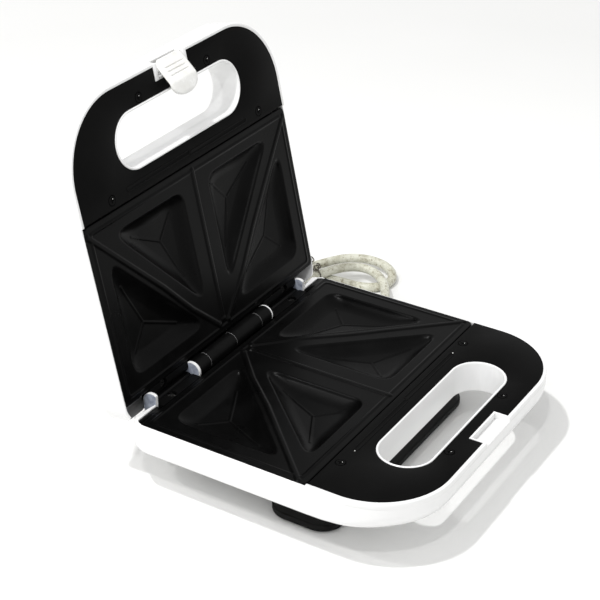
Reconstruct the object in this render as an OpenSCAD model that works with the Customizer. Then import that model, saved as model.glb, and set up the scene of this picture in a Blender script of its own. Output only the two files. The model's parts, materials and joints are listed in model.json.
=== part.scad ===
// Sandwich toaster with two cast plates of triangular pockets.
// The base stands on the floor (z = 0); the lid is shown leaning open on its stop.
// X runs along the hinge, the handles point to -Y, the cord leaves at +Y.
// Each half is drawn in its own frame: the origin is on the hinge axis,
// -Y points to the handle and -Z into the base. The lid is the base mirrored and turned.

/* [Overall sizes] */
// Width of the body over the side walls
body_w = 220; // [200:1:264]
// From the hinge axis to the front of the handle
front_reach = 197; // [190:1:240]
// From the hinge axis to the back wall of the base
rear_reach = 6; // [5.5:0.1:6.5]
// From the hinge axis to the back wall of the lid
lid_rear_reach = 8; // [7.4:0.1:9]
// Depth of one half below its rim
wall_h = 22; // [20:0.5:27]
// Depth of the belly under the plate, below the side wall
belly_h = 12; // [8:0.5:16]
// Height of the feet under the belly
foot_h = 16; // [10:0.5:24]
// Angle at which the open lid rests on its stop
open_angle = 101.8; // [96:0.1:108]
// Gap between the two rims when the lid is shut
rim_gap = 1; // [0.8:0.1:2]

/* [Shells] */
// Corner radius at the handle
front_r = 50; // [30:1:56]
// Corner radius at the hinge
rear_r = 18; // [8:1:20]
// Thickness of the moulded walls
wall_t = 2.4; // [1.8:0.1:3]
// Cut-off edge under the base
base_edge = 2.4; // [1:0.2:3]
// Cut-off edge on top of the lid
lid_edge = 4.4; // [2:0.2:5]
// Height of the crown on the lid
crown_h = 4; // [2:0.5:8]
// Width of the white rim round the black panel
rim_w = 2.2; // [1.8:0.1:3]
// Width of the ledge that carries panel and plate
ledge_w = 4.4; // [4:0.1:6]
// Belly wall slope, measured across
belly_in = 14; // [8:1:18]

/* [Plates] */
// Side wall left beside a plate
plate_lip = 1.3; // [1.1:0.1:2]
// From the hinge axis to the back edge of a plate
plate_back = 7.8; // [7.6:0.1:9]
// From the hinge axis to the front edge of a plate
plate_front = 125.2; // [118:0.1:135]
// Drop of the plate rim below the shell rim
plate_drop = 1.2; // [0.8:0.1:1.6]
// Thickness of the casting
plate_t = 3; // [2.4:0.1:3.6]
// Depth of the pocket floor below the plate rim
pocket_h = 5.2; // [4:0.5:8]
// Extra depth at the point of the pocket
apex_h = 1.6; // [0.5:0.1:2.5]

/* [Handle] */
// Length of the grip hole
hole_l = 132; // [110:1:150]
// Width of the grip hole
hole_w = 37.2; // [30:0.2:42]
// From the front of the handle to the middle of the grip hole
hole_in = 37.6; // [34:0.2:42]
// Thickness of the black panel
panel_t = 2.2; // [1.8:0.1:3]
// Width of the latch pocket
pocket_w = 34; // [30:1:40]
// Length of the latch pocket, from the front of the handle
pocket_l = 11.4; // [9:0.2:14]

/* [Latch] */
// Width of the latch
latch_w = 26.6; // [20:0.2:28]
// From the front of the handle back to the pivot
latch_in = 5; // [4:0.5:6]
// Pivot height above the lid rim
latch_z = 2.2; // [2:0.1:3]
// Length of the lever
lever_l = 13.2; // [11:0.2:15]
// Length of the hooked tongue
tongue_l = 11; // [8:0.5:13]

/* [Hinge] */
// Radius of the hinge barrels
barrel_r = 6; // [5:0.1:6]
// Radius of the hinge pin
pin_r = 2; // [1.5:0.1:2.5]
// Radial running clearance of the pin
pin_fit = 0.05; // [0.03:0.01:0.08]
// Half length of the row of barrels
barrel_x = 42; // [36:0.5:46]
// Place of the barrel joint beside the middle one
joint_x = 30; // [24:0.5:33]
// Radius of the ribs beside the barrels
rib_r = 6.4; // [6.2:0.1:6.6]
// Start of the end ears, from the middle
ear_x = 85.4; // [82:0.2:88]
// Thickness of an end ear
ear_t = 2.2; // [1.8:0.2:3.4]

/* [Heating] */
// Radius of the heater tube
heater_r = 3.3; // [2.5:0.1:4]
// Radius of the heater bend
heater_bend_r = 24; // [18:1:30]

/* [Mains lead] */
// Diameter of the mains lead
cord_d = 7; // [6:0.2:7.4]

/* [Hidden] */
$fn = 96;
clear = 0.3;
floor_z = -(rim_gap / 2 + wall_h + belly_h + foot_h);
axis_z = -floor_z;
rim_z = -rim_gap / 2;
plate_z = rim_z - plate_drop;
deck_z = plate_z - plate_t;
under_z = rim_z - wall_h;
belly_z = under_z - belly_h;
// Wedge behind the hinge that both halves keep free, so that they meet at the stop.
stop_a = (180 - open_angle) / 2;
// The open lid reaches back by its length and its depth.
lean = open_angle - 90;
lid_back = (front_reach - lid_edge) * sin(lean) + (rim_gap / 2 + wall_h) * cos(lean);
hinge_y = (front_reach - lid_back) / 2;
ledge_t = 2.6;
plate_w = body_w - 2 * plate_lip;
hole_y = front_reach - hole_in;
pocket_y = front_reach - pocket_l;
latch_y = front_reach - latch_in;
inner_w = body_w - 2 * rim_w;
panel_w = inner_w - 0.4;
panel_front = front_reach - rim_w - 0.2;
panel_back = plate_front + 1.6;
panel_r = front_r - rim_w - 0.2;
hole_rim = 1.8;
hole_in_w = hole_w - 2 * hole_rim;
screw_r = 1.5;
head_r = 2.9;
head_h = 2;
boss_r = 3.8;
panel_screws = [[79.5, panel_back + 5.6], [36, hole_y + hole_w / 2 + 4]];
bracket_x = ear_x - 0.5;
pin_half = barrel_x + 1.4;
// the leaf beside the ribs reaches over the axis and closes the gap there
leaf_back = rear_reach - 1.5;
leaf_t = 1.2;
shelf_front = clear - (plate_back - 4);
bracket_front = plate_back - 0.5;
bracket_deck = rim_z - 0.9;
bar_z = -9.4;
hinge_screw = [71, 3.4];
tab_x = 45;
tab_front = plate_front + 8;
tab_w = 13;
tab_t = 2;
heater_z = deck_z - pocket_h - apex_h - heater_r - 0.8;
heater_y = (plate_back + plate_front) / 2;
clamp_t = 1;
tray_t = 0.8;
tray_z = heater_z - heater_r - clamp_t - tray_t;
tray_w = body_w - 36;
heater_out = tray_w / 2 - 14;
heater_in = 30 - tray_w / 2;
tray_back = plate_back + 8;
tray_front = plate_front - 9;
post_x = tray_w / 2 - 14;
foot_w = body_w - 39;
foot_front = plate_front + 7.8;
foot_back = foot_front - 49;
rear_foot_w = 130;
rear_foot_back = 6;
rear_foot_front = 34;
foot_lip = 3;
foot_lip_h = 5;
pad_h = 1.2;
latch_gap = 0.6;
latch_pin_r = 1.2;
cheek_t = 2.6;
exit_x = -10;
exit_h = foot_h + 8;
exit_z = exit_h + floor_z;
boss_l = 12;
block_y = 22;
relief_l = 28;
lamp_x = [-9, 9];
lamp_y = 69;
lamp_r = 1.2;
lens_r = 3;
lens_flange = 0.6;
lamp_z = under_z - crown_h + wall_t;
fuse_x = -30;

// The lead, in floor coordinates: x, distance behind the hinge axis, height.
cord_start = rear_reach + relief_l;
cord_path = [[exit_x, cord_start, exit_h], [exit_x, cord_start + 6, exit_h],
    [-10, 50, 21.4], [-9.6, 58, 17.4], [-8.4, 66, 12.6], [-6, 74, 8.4], [-2, 82, 5.6],
    [4, 89, 4.2], [11, 94.6, 3.6], [20, 99, 3.6], [30, 102.6, 3.6], [41, 104.8, 3.6],
    [52, 105.6, 3.6], [62, 105.8, 3.6], [72, 105.6, 3.6], [80, 105.2, 3.6]];
hank_angle = 28;
hank_end = [185, 17];
hank_run = 105;
hank_r = 29.2;
hank_wide = 22.8;
hank_high = 14.6;
plug_at = [52.2, 58.3];
plug_angle = 187;
plug_l = 32;

// ---- frames ----

module in_base() {
    translate([0, hinge_y, axis_z]) children();
}

module in_lid() {
    translate([0, hinge_y, axis_z]) rotate([-open_angle, 0, 0])
        mirror([0, 0, 1]) children();
}

module both_sides() {
    children();
    mirror([1, 0, 0]) children();
}

// ---- outlines ----

// Plan of a half: round corners at the handle and at the hinge.
module plan(w, front, rear, rf, rr) {
    union() {
        translate([-w / 2 + rf, -front]) square([w - 2 * rf, front + rear]);
        translate([-w / 2, -front + rf]) square([w, front - rf + rear - rr]);
        translate([-w / 2 + rr, rear - rr]) square([w - 2 * rr, rr]);
        for (s = [-1, 1]) {
            translate([s * (w / 2 - rf), -front + rf]) circle(rf);
            translate([s * (w / 2 - rr), rear - rr]) circle(rr);
        }
    }
}

module body_plan(inset, rear) {
    plan(body_w - 2 * inset, front_reach - inset, rear - inset,
        front_r - inset, rear_r - inset);
}

// A box of round corners between two distances from the hinge axis.
module pad_plan(w, back, front, r) {
    translate([-w / 2 + r, -front]) square([w - 2 * r, front - back]);
    translate([-w / 2, -front + r]) square([w, front - back - 2 * r]);
    for (s = [-1, 1], y = [-front + r, -back - r])
        translate([s * (w / 2 - r), y]) circle(r);
}

module slot_plan(l, w) {
    square([l - w, w], center = true);
    for (s = [-1, 1]) translate([s * (l - w) / 2, 0]) circle(w / 2);
}

// Lower corners of the body are cut off at 45 degrees.
module chamfered(w, front, rear, rf, rr, c, low) {
    top = low + c;
    for (s = [-1, 1]) {
        translate([s * (w / 2 - rf), -front + rf, low]) cylinder(r1 = rf - c, r2 = rf, h = c);
        translate([s * (w / 2 - rr), rear - rr, low]) cylinder(r1 = rr - c, r2 = rr, h = c);
    }
    along_x(-w / 2 + rf, w / 2 - rf)
        polygon([[-front + c, low], [0, low], [0, top], [-front, top]]);
    along_x(-w / 2 + rr, w / 2 - rr)
        polygon([[-rr - 1, low], [rear - c, low], [rear, top], [-rr - 1, top]]);
    translate([0, rear - rr, 0]) rotate([90, 0, 0]) linear_extrude(front + rear - rf - rr)
        polygon([[-w / 2 + c, low], [w / 2 - c, low], [w / 2, top], [-w / 2, top]]);
}

module slab(top, bottom) {
    translate([0, 0, bottom]) linear_extrude(top - bottom) children();
}

module along_x(x0, x1) {
    translate([x0, 0, 0]) rotate([90, 0, 90]) linear_extrude(x1 - x0) children();
}

// ---- shells ----

module belly_plan(out, low) {
    in = wall_t + 1 - out + (low ? belly_in : 0);
    pad_plan(body_w - 2 * in, -rear_reach + in, plate_front + 6 - in, 12);
}

// A tapered tub: straight plan at the top, a smaller plan at the bottom.
module belly(out, depth) {
    hull() {
        slab(under_z + 0.2, under_z + 0.1) belly_plan(out, false);
        slab(under_z - depth + 0.1, under_z - depth) belly_plan(out, true);
    }
}

// Space behind the hinge that the other half needs.
module stop_wedge(reach) {
    along_x(-reach, reach)
        polygon([[-3, 0], [60, 0], [60, -0.1 - 60 / tan(stop_a)], [0, -0.4]]);
}

module shell_solid(rear, edge) {
    difference() {
        union() {
            slab(rim_z, under_z + edge) body_plan(0, rear);
            chamfered(body_w, front_reach, rear, front_r, rear_r, edge, under_z);
        }
        slab(1, deck_z - ledge_t - 0.1) body_plan(ledge_w, rear);
        slab(deck_z - ledge_t, under_z + wall_t + edge * 0.4) body_plan(wall_t, rear);
        slab(under_z + wall_t + edge, under_z + wall_t) body_plan(wall_t + edge * 0.6, rear);
        // no ledge behind the hinge, and room for the barrels
        slab(1, deck_z - ledge_t - 1) translate([-ear_x + clear, -4])
            square([2 * (ear_x - clear), 4 + rear - wall_t]);
        along_x(-barrel_x - 0.2, barrel_x + 0.2) circle(barrel_r + 0.4);
        slab(1, plate_z) translate([-body_w, -panel_back + 0.6])
            square([2 * body_w, 200]);
        slab(1, deck_z) pad_plan(plate_w + 0.6, plate_back - 4.4, plate_front + 0.4, 4);
        slab(1, rim_z - panel_t) panel_plan(0.2);
    }
}

module panel_plan(grow) {
    difference() {
        plan(panel_w + 2 * grow, panel_front + grow, 40, panel_r + grow, 10);
        translate([-body_w, -panel_back + grow]) square([2 * body_w, 200]);
    }
}

module grip_hole(grow) {
    translate([0, -hole_y]) slot_plan(hole_l + 2 * grow, hole_w + 2 * grow);
}

module latch_notch(grow) {
    translate([-pocket_w / 2 - grow, -front_reach - 5])
        square([pocket_w + 2 * grow, front_reach + 5 - pocket_y + grow]);
}

module screw_posts(list, top) {
    for (p = list, s = [-1, 1]) translate([s * p[0], -p[1], under_z + 1])
        cylinder(r = boss_r, h = top - under_z - 1);
}

module screw_bores(list, top) {
    for (p = list, s = [-1, 1]) translate([s * p[0], -p[1], top - 14])
        cylinder(r = screw_r + pin_fit, h = 15);
}

module tube_wall() {
    slab(rim_z, under_z) difference() {
        grip_hole(-0.2);
        grip_hole(-hole_rim);
    }
}

// Shared moulding of base and lid shell.
module half_shell(rear, edge) {
    difference() {
        union() {
            shell_solid(rear, edge);
            intersection() {
                slab(rim_z - panel_t - 0.1, under_z) body_plan(wall_t, rear);
                slab(rim_z, under_z) grip_hole(0.9);
            }
            tube_wall();
            screw_posts(panel_screws, rim_z - panel_t);
            screw_posts([[tab_x, tab_front - 3.6]], deck_z - tab_t);
        }
        slab(2, under_z - 1) grip_hole(-hole_rim);
        screw_bores(panel_screws, rim_z - panel_t);
        screw_bores([[tab_x, tab_front - 3.6]], deck_z - tab_t);
        slab(2, rim_z - 3.6) latch_notch(-1.2);
        along_x(-pocket_w / 2 + 1.2, pocket_w / 2 - 1.2)
            polygon([[-pocket_y - 1, rim_z], [-pocket_y - 1, rim_z - 3.6],
                [-front_reach - 1, rim_z - 7], [-front_reach - 1, rim_z]]);
    }
}

// White lip round the latch pocket, with its sloping floor.
module latch_pocket() {
    difference() {
        intersection() {
            slab(rim_z, under_z + 1) body_plan(0.4, rear_reach);
            along_x(-pocket_w / 2 - 0.2, pocket_w / 2 + 0.2)
                polygon([[-pocket_y + 0.2, rim_z], [-pocket_y + 0.2, rim_z - 6],
                    [-front_reach, rim_z - 10], [-front_reach, rim_z]]);
        }
        along_x(-pocket_w / 2 + 1.2, pocket_w / 2 - 1.2)
            polygon([[-pocket_y - 1, 2], [-pocket_y - 1, rim_z - 3.6],
                [-front_reach - 1, rim_z - 7], [-front_reach - 1, 2]]);
    }
}

module rib(x, stem_r) {
    along_x(x, x + 2) union() {
        circle(rib_r);
        translate([stem_r, under_z + 1]) square([rear_reach - stem_r, -under_z - 1]);
        translate([rear_reach - 3.4, bar_z - 1.5]) square([3, 3]);
    }
}

// Half-round ear that closes the end of the hinge recess.
module ear() {
    along_x(ear_x, ear_x + ear_t) union() {
        intersection() {
            circle(rib_r);
            translate([shelf_front, -rib_r]) square(2 * rib_r);
        }
        translate([shelf_front, under_z + 6]) square([rear_reach - 0.2 - shelf_front, -under_z - 6.5]);
    }
}

// Low shelf outside the ear: a rim along the plate, then a slope to the back.
module ear_shelf() {
    intersection() {
        along_x(ear_x, body_w / 2 - 1.6)
            polygon([[shelf_front, under_z + 6], [shelf_front, rim_z], [shelf_front + 1.2, rim_z],
                [rear_reach - 0.2, rim_z - (rear_reach - 1.4 - shelf_front)], [rear_reach - 0.2, under_z + 6]]);
        slab(1, under_z) body_plan(wall_t / 2, rear_reach);
    }
}

module base_shell() {
    color("white") in_base() difference() {
        union() {
            difference() {
                half_shell(rear_reach, base_edge);
                stop_wedge(body_w);
                slab(under_z + wall_t + 1, under_z - 1)
                    belly_plan(-wall_t, false);
            }
            difference() {
                belly(0, belly_h);
                belly(-wall_t, belly_h - wall_t);
            }
            latch_pocket();
            cord_boss();
            both_sides() {
                rib(barrel_x + 0.3, 3.6);
                ear();
                ear_shelf();
                translate([hinge_screw[0], -hinge_screw[1], belly_z + 2])
                    cylinder(r = boss_r, h = bar_z - belly_z - 2);
            }
        }
        both_sides() {
            translate([hinge_screw[0], -hinge_screw[1], bar_z - 12])
                cylinder(r = screw_r + pin_fit, h = 13);
            for (p = foot_points(foot_w, foot_back, foot_front))
                translate([p[0], -p[1], belly_z - 1]) cylinder(r = screw_r + pin_fit, h = 6);
            for (p = foot_points(rear_foot_w, rear_foot_back, rear_foot_front))
                translate([p[0], -p[1], belly_z - 1]) cylinder(r = screw_r + pin_fit, h = 6);
        }
        along_x(-pin_half, pin_half) circle(pin_r + pin_fit);
        along_cord(-boss_l - 4, rear_reach + 1) circle(cord_d / 2 + 0.2);
    }
}

// Extrudes along the way out of the lead, in the frame of the base.
module along_cord(y0, y1) {
    translate([exit_x, y1, exit_z]) rotate([90, 0, 0]) linear_extrude(y1 - y0) children();
}

// Round boss where the lead comes out, level with the belly.
module cord_boss() {
    along_cord(-boss_l, rear_reach) circle(8);
}

module lid_shell() {
    color("white") in_lid() difference() {
        union() {
            half_shell(lid_rear_reach, lid_edge);
            lid_crown(0, 0.2);
            // cheeks that carry the latch pin
            both_sides() translate([latch_w / 2 + latch_gap, -latch_y - 3, -latch_z - 4.2])
                cube([cheek_t, 6.4, 5.6]);
        }
        lid_crown(wall_t, wall_t);
        stop_wedge(body_w);
        // room for the ears of the base
        both_sides() along_x(ear_x - 0.6, ear_x + ear_t + 0.6) union() {
            circle(rib_r + 0.6);
            translate([-1.5, -rib_r - 0.8]) square([30, rib_r + 2.6]);
        }
        // the latch turns in the front of the notch
        slab(2, -latch_z - 4.6)
            translate([-latch_w / 2 - latch_gap, -front_reach - 5])
            square([latch_w + 2 * latch_gap, front_reach + 8.2 - latch_y]);
        both_sides() translate([hinge_screw[0], -hinge_screw[1] - 1.5, bar_z - 9])
            cylinder(r = screw_r + pin_fit, h = 10);
        for (x = lamp_x) translate([x, -lamp_y, under_z - crown_h - 1])
            cylinder(r = lens_r + 0.1, h = 5);
        latch_pin_bore();
    }
}

// Low crown over the heater, on the outside of the lid.
module lid_crown(in, up) {
    hull() {
        slab(under_z + up + 0.1, under_z + up) crown_plan(9 + in);
        slab(under_z - crown_h + in + 0.1, under_z - crown_h + in) crown_plan(20 + in);
    }
}

module crown_plan(in) {
    pad_plan(body_w - 2 * in, -lid_rear_reach + in, plate_front + 12 - in, 14);
}

// ---- handle panels ----

module handle_panel() {
    difference() {
        slab(rim_z, rim_z - panel_t) difference() {
            panel_plan(0);
            grip_hole(0);
            latch_notch(0.4);
        }
        for (p = panel_screws, s = [-1, 1]) translate([s * p[0], -p[1], 0]) {
            translate([0, 0, rim_z - panel_t - 1]) cylinder(r = screw_r + 0.2, h = panel_t + 2);
            translate([0, 0, rim_z - 1.2]) cylinder(r = head_r + 0.4, h = 3);
        }
        for (x = [-64.3, 1]) translate([x, -panel_back - 7.8, rim_z - 1]) cube([63.3, 1.7, 2]);
    }
}

module screw(point, z, length) {
    translate([point[0], -point[1], z]) {
        difference() {
            cylinder(r = head_r, h = head_h - 0.8);
            for (a = [0, 90]) rotate(a) translate([-1.8, -0.35, 0.5]) cube([3.6, 0.7, 2]);
        }
        translate([0, 0, -length]) cylinder(r = screw_r, h = length + 0.1);
    }
}

module panel_screw_set() {
    for (p = panel_screws, s = [-1, 1]) screw([s * p[0], p[1]], rim_z - 1.2 + 0.02, 9);
}

module base_handle_panel() {
    color([0.1, 0.1, 0.1]) in_base() handle_panel();
}

module lid_handle_panel() {
    color([0.1, 0.1, 0.1]) in_lid() handle_panel();
}

module base_panel_screws() {
    color("silver") in_base() panel_screw_set();
}

module lid_panel_screws() {
    color("silver") in_lid() panel_screw_set();
}

// ---- plates ----

// Corners of the rear and the front pocket of one side.
pocket_side = plate_w / 2 - 15.7;
pocket_back = plate_back + 14.7;
pocket_front = plate_front - 13.7;
rear_pocket = [[22, pocket_back], [pocket_side, pocket_back], [pocket_side, 97]];
rear_apex = [pocket_side - 24, pocket_back + 23.7];
front_pocket = [[15, 38], [82, pocket_front], [15, pocket_front]];
front_apex = [37, pocket_front - 24.1];

function centre(t) = (t[0] + t[1] + t[2]) / 3;
function grow_to(p, c, k) = c + (p - c) * k;

// Pocket: sloping walls down to a floor of three facets that meet at the apex.
module pocket(tri, apex, k, extra, lift) {
    c = centre(tri);
    top = [for (p = tri) grow_to(p, c, k)];
    low = [for (p = tri) grow_to(p, c, k * 0.84)];
    z0 = plate_z + lift;
    z1 = plate_z - pocket_h - extra;
    points = concat([for (p = top) [p[0], -p[1], z0]], [for (p = low) [p[0], -p[1], z1]],
        [[apex[0], -apex[1], z1 - apex_h]]);
    polyhedron(points = points, faces = [[0, 1, 2], [0, 3, 4, 1], [1, 4, 5, 2], [2, 5, 3, 0],
        [3, 6, 4], [4, 6, 5], [5, 6, 3]]);
}

module pockets(k, extra, lift) {
    both_sides() {
        pocket(rear_pocket, rear_apex, k, extra, lift);
        pocket(front_pocket, front_apex, k, extra, lift);
    }
}

module plate_plan() {
    difference() {
        pad_plan(plate_w, plate_back - 4, plate_front, 4);
        translate([-ear_x, -plate_back]) square([2 * ear_x, 20]);
    }
}

module plate() {
    difference() {
        union() {
            slab(plate_z, deck_z) plate_plan();
            intersection() {
                pockets(1.09, plate_t - 0.4, -0.5);
                slab(plate_z, -60) pad_plan(plate_w - 4, plate_back, plate_front - 2, 3);
            }
            for (s = [-1, 1]) translate([s * tab_x - tab_w / 2, -tab_front, deck_z - tab_t])
                cube([tab_w, tab_front - plate_front + 6, tab_t + 0.1]);
        }
        pockets(1, 0, 1);
        for (s = [-1, 1]) translate([s * tab_x, -tab_front + 3.6, deck_z - tab_t - 1])
            cylinder(r = screw_r + 0.2, h = tab_t + 2);
        // bead round the edge and double lines between the pockets
        slab(1, plate_z - 0.6) difference() {
            pad_plan(plate_w - 9, plate_back + 4, plate_front - 4.5, 4);
            pad_plan(plate_w - 11, plate_back + 5, plate_front - 5.5, 3);
        }
    }
}

module plate_screw_set() {
    for (s = [-1, 1]) screw([s * tab_x, tab_front - 3.6], deck_z + 0.12, 9);
}

module lower_plate() {
    color([0.16, 0.16, 0.17]) in_base() plate();
}

module upper_plate() {
    color([0.16, 0.16, 0.17]) in_lid() plate_lid();
}

// The upper casting stops short of the ears of the base.
module plate_lid() {
    difference() {
        plate();
        slab(2, -40) translate([-body_w, -plate_back - 0.8]) square([2 * body_w, 30]);
    }
}

module lower_plate_screws() {
    color("silver") in_base() plate_screw_set();
}

module upper_plate_screws() {
    color("silver") in_lid() plate_screw_set();
}

// ---- heaters ----

// Hairpin heater: two straight legs and one round bend, with its terminals.
module heater() {
    for (s = [-1, 1]) translate([heater_in, -heater_y + s * heater_bend_r, heater_z])
        rotate([0, 90, 0]) cylinder(r = heater_r, h = heater_out - heater_in, $fn = 48);
    translate([heater_in, -heater_y, heater_z]) rotate([0, 0, 90])
        rotate_extrude(angle = 180) translate([heater_bend_r, 0]) circle(heater_r, $fn = 48);
    for (s = [-1, 1]) translate([heater_out, -heater_y + s * heater_bend_r, heater_z])
        rotate([0, 90, 0]) cylinder(r = 1.2, h = 12, $fn = 32);
}

// Sheet saddles hold the heater tube against the casting.
module heater_clamps() {
    for (c = [[-30, 1], [0, 1], [30, 1], [0, -1], [heater_out - 4, -1]])
        translate([c[0] - 3, -heater_y + c[1] * heater_bend_r, heater_z]) difference() {
            translate([0, -heater_r - clamp_t - 0.2, -heater_r - clamp_t])
                cube([6, 2 * (heater_r + clamp_t + 0.2), deck_z - heater_z + heater_r + clamp_t]);
            translate([-1, -heater_r - 0.2, -heater_r]) cube([10, 2 * heater_r + 0.4, 40]);
        }
}

module heat_tray() {
    difference() {
        slab(tray_z + 6, tray_z) pad_plan(tray_w, tray_back, tray_front, 6);
        slab(tray_z + 7, tray_z + tray_t)
            pad_plan(tray_w - 2 * tray_t, tray_back + tray_t, tray_front - tray_t, 6 - tray_t);
    }
}

module posts(low) {
    for (s = [-1, 1], y = [heater_y - 30, heater_y + 30])
        translate([s * post_x, -y, low]) difference() {
            cylinder(r = 4, h = tray_z - low);
            translate([0, 0, -1]) cylinder(r = 1.5, h = 100);
        }
}

module lower_heater() {
    color([0.45, 0.42, 0.4]) in_base() heater();
}

module upper_heater() {
    color([0.45, 0.42, 0.4]) in_lid() heater();
}

module lower_heater_clamps() {
    color("lightgray") in_base() heater_clamps();
}

module upper_heater_clamps() {
    color("lightgray") in_lid() heater_clamps();
}

module lower_heat_tray() {
    color("silver") in_base() heat_tray();
}

module upper_heat_tray() {
    color("silver") in_lid() heat_tray();
}

module tray_posts() {
    color("tan") in_base() posts(belly_z + wall_t);
}

module lid_tray_posts() {
    color("tan") in_lid() posts(under_z - crown_h + wall_t);
}

// Bimetal thermostat screwed to a bracket on the tray.
module thermostat() {
    color("ivory") in_base() translate([30, -heater_y, tray_z + tray_t]) {
        cylinder(r = 8, h = 3);
        translate([0, 0, 3]) cylinder(r = 6, h = 2.4);
        for (s = [-1, 1]) translate([s * 9.4 - 2.4, -2.4, 0]) cube([4.8, 4.8, 1.4]);
    }
}

module thermal_fuse() {
    color("ivory") in_lid() translate([fuse_x - 9, -heater_y, tray_z + tray_t + 2.1])
        rotate([0, 90, 0]) {
            cylinder(r = 2, h = 18);
            translate([0, 0, -6]) cylinder(r = 0.6, h = 30, $fn = 24);
        }
}

module terminal_block() {
    color("ivory") in_base() translate([exit_x - 15, -block_y - 14, belly_z + wall_t])
        difference() {
            cube([30, 14, 9]);
            for (i = [0:2]) translate([5 + i * 10, 7, 3]) cylinder(r = 2.4, h = 8, $fn = 32);
        }
}

// The end of the lead inside the base, up to the terminal block.
module inner_lead() {
    color("gainsboro") in_base() along_cord(-block_y, rear_reach) circle(cord_d / 2);
}

// Saddle over the inner end of the lead.
module cord_clamp() {
    color([0.2, 0.2, 0.2]) in_base() difference() {
        along_cord(-block_y + 2, -block_y + 6) translate([-9, belly_z + wall_t - exit_z])
            square([18, 10.2]);
        along_cord(-block_y, 0) circle(cord_d / 2);
    }
}

// ---- feet ----

function foot_points(w, back, front) = [[w / 2 - 16, (back + front) / 2]];

module foot(w, back, front) {
    difference() {
        union() {
            slab(belly_z, floor_z + pad_h + foot_lip_h)
                pad_plan(w - 2 * foot_lip, back + foot_lip, front - foot_lip, 9);
            slab(floor_z + pad_h + foot_lip_h, floor_z + pad_h)
                pad_plan(w, back, front, 12);
        }
        slab(belly_z - 2.4, floor_z - 1)
            pad_plan(w - 2 * foot_lip - 5, back + foot_lip + 2.5, front - foot_lip - 2.5, 7);
        both_sides() for (p = foot_points(w, back, front))
            translate([p[0], -p[1], belly_z - 4]) cylinder(r = screw_r + 0.2, h = 6);
        // two shallow grooves down each face
        for (s = [-1, 1], y = [back, front]) translate([s * w * 0.36 - 0.5, -y, belly_z - 40])
            translate([0, y == back ? -foot_lip - 0.6 : foot_lip - 0.4, 0]) cube([1, 1, 40]);
    }
}

module foot_pad_set(w, back, front) {
    both_sides() slab(floor_z + pad_h, floor_z) difference() {
        translate([w / 2 - 16, -(back + front) / 2]) square([26, front - back - 9], center = true);
        translate([w / 2 - 16, -(back + front) / 2]) circle(6);
    }
}

module front_foot() {
    color([0.13, 0.13, 0.13]) in_base() foot(foot_w, foot_back, foot_front);
}

module rear_foot() {
    color([0.13, 0.13, 0.13]) in_base() foot(rear_foot_w, rear_foot_back, rear_foot_front);
}

module foot_screws() {
    color("silver") in_base() both_sides() {
        for (p = concat(foot_points(foot_w, foot_back, foot_front),
            foot_points(rear_foot_w, rear_foot_back, rear_foot_front)))
            translate([p[0], -p[1], belly_z - 2.4]) {
                translate([0, 0, -1.6]) cylinder(r = head_r, h = 1.6);
                cylinder(r = screw_r, h = 6.6);
            }
    }
}

module foot_pads() {
    color([0.2, 0.2, 0.2]) in_base() {
        foot_pad_set(foot_w, foot_back, foot_front);
        foot_pad_set(rear_foot_w, rear_foot_back, rear_foot_front);
    }
}

// ---- hinge ----

// Side profile of the bar that joins the barrels of one half.
module bar_profile() {
    translate([-bracket_front, bar_z]) square([bracket_front + 1, 2.4]);
}

module knuckle(x0, x1) {
    along_x(x0, x1) union() {
        circle(barrel_r);
        translate([-barrel_r, bar_z]) square([barrel_r + 2, -bar_z]);
    }
}

// Side profile of a block that stays in front of the axis.
module block_profile() {
    polygon([[-bracket_front, bar_z], [-bracket_front, bracket_deck],
        [-3.4, bracket_deck], [-0.6, bracket_deck - 1.6], [1, bar_z + 1]]);
}

// Thin leaf from the block over the axis.
module leaf_profile() {
    translate([-3.6, bracket_deck - leaf_t]) square([leaf_back + 3.6, leaf_t]);
}

// Side blocks with their screw wells.
module bracket_side(well_y, leaf) {
    difference() {
        along_x(barrel_x + 2.8, bracket_x) union() {
            block_profile();
            if (leaf) leaf_profile();
        }
        translate([hinge_screw[0], -well_y, bar_z + 2.4]) cylinder(r = head_r + 0.4, h = 20);
        translate([hinge_screw[0], -well_y, bar_z - 1]) cylinder(r = screw_r + 0.2, h = 8);
    }
}

module bracket(barrels, well_y, leaf) {
    difference() {
        union() {
            for (b = barrels) knuckle(b[0] + 0.15, b[1] - 0.15);
            difference() {
                along_x(-bracket_x, bracket_x) bar_profile();
                both_sides() along_x(barrel_x - 0.2, barrel_x + 2.7) circle(rib_r + 0.4);
                both_sides() translate([hinge_screw[0], -well_y, bar_z - 1])
                    cylinder(r = screw_r + 0.2, h = 8);
            }
            both_sides() bracket_side(well_y, leaf);
        }
        along_x(-body_w, body_w) circle(pin_r + pin_fit);
        // the other half turns in these gaps
        for (b = other(barrels)) along_x(b[0] - 0.15, b[1] + 0.15) circle(barrel_r + 0.6);
    }
}

base_barrels = [[-joint_x, 0], [joint_x, barrel_x]];
lid_barrels = [[-barrel_x, -joint_x], [0, joint_x]];

function other(list) = list == base_barrels ? lid_barrels : base_barrels;

module base_hinge_bracket() {
    color([0.12, 0.12, 0.12]) in_base() bracket(base_barrels, hinge_screw[1], true);
}

module lid_hinge_bracket() {
    color([0.12, 0.12, 0.12]) in_lid() bracket(lid_barrels, hinge_screw[1] + 1.5, false);
}

module hinge_pin() {
    color([0.15, 0.15, 0.15]) in_base() translate([-pin_half, 0, 0]) rotate([0, 90, 0])
        cylinder(r = pin_r, h = 2 * pin_half);
}

module hinge_screw_set(well_y) {
    both_sides() screw([hinge_screw[0], well_y], bar_z + 2.42, 8);
}

module base_hinge_screws() {
    color("silver") in_base() hinge_screw_set(hinge_screw[1]);
}

module lid_hinge_screws() {
    color("silver") in_lid() hinge_screw_set(hinge_screw[1] + 1.5);
}

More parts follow.
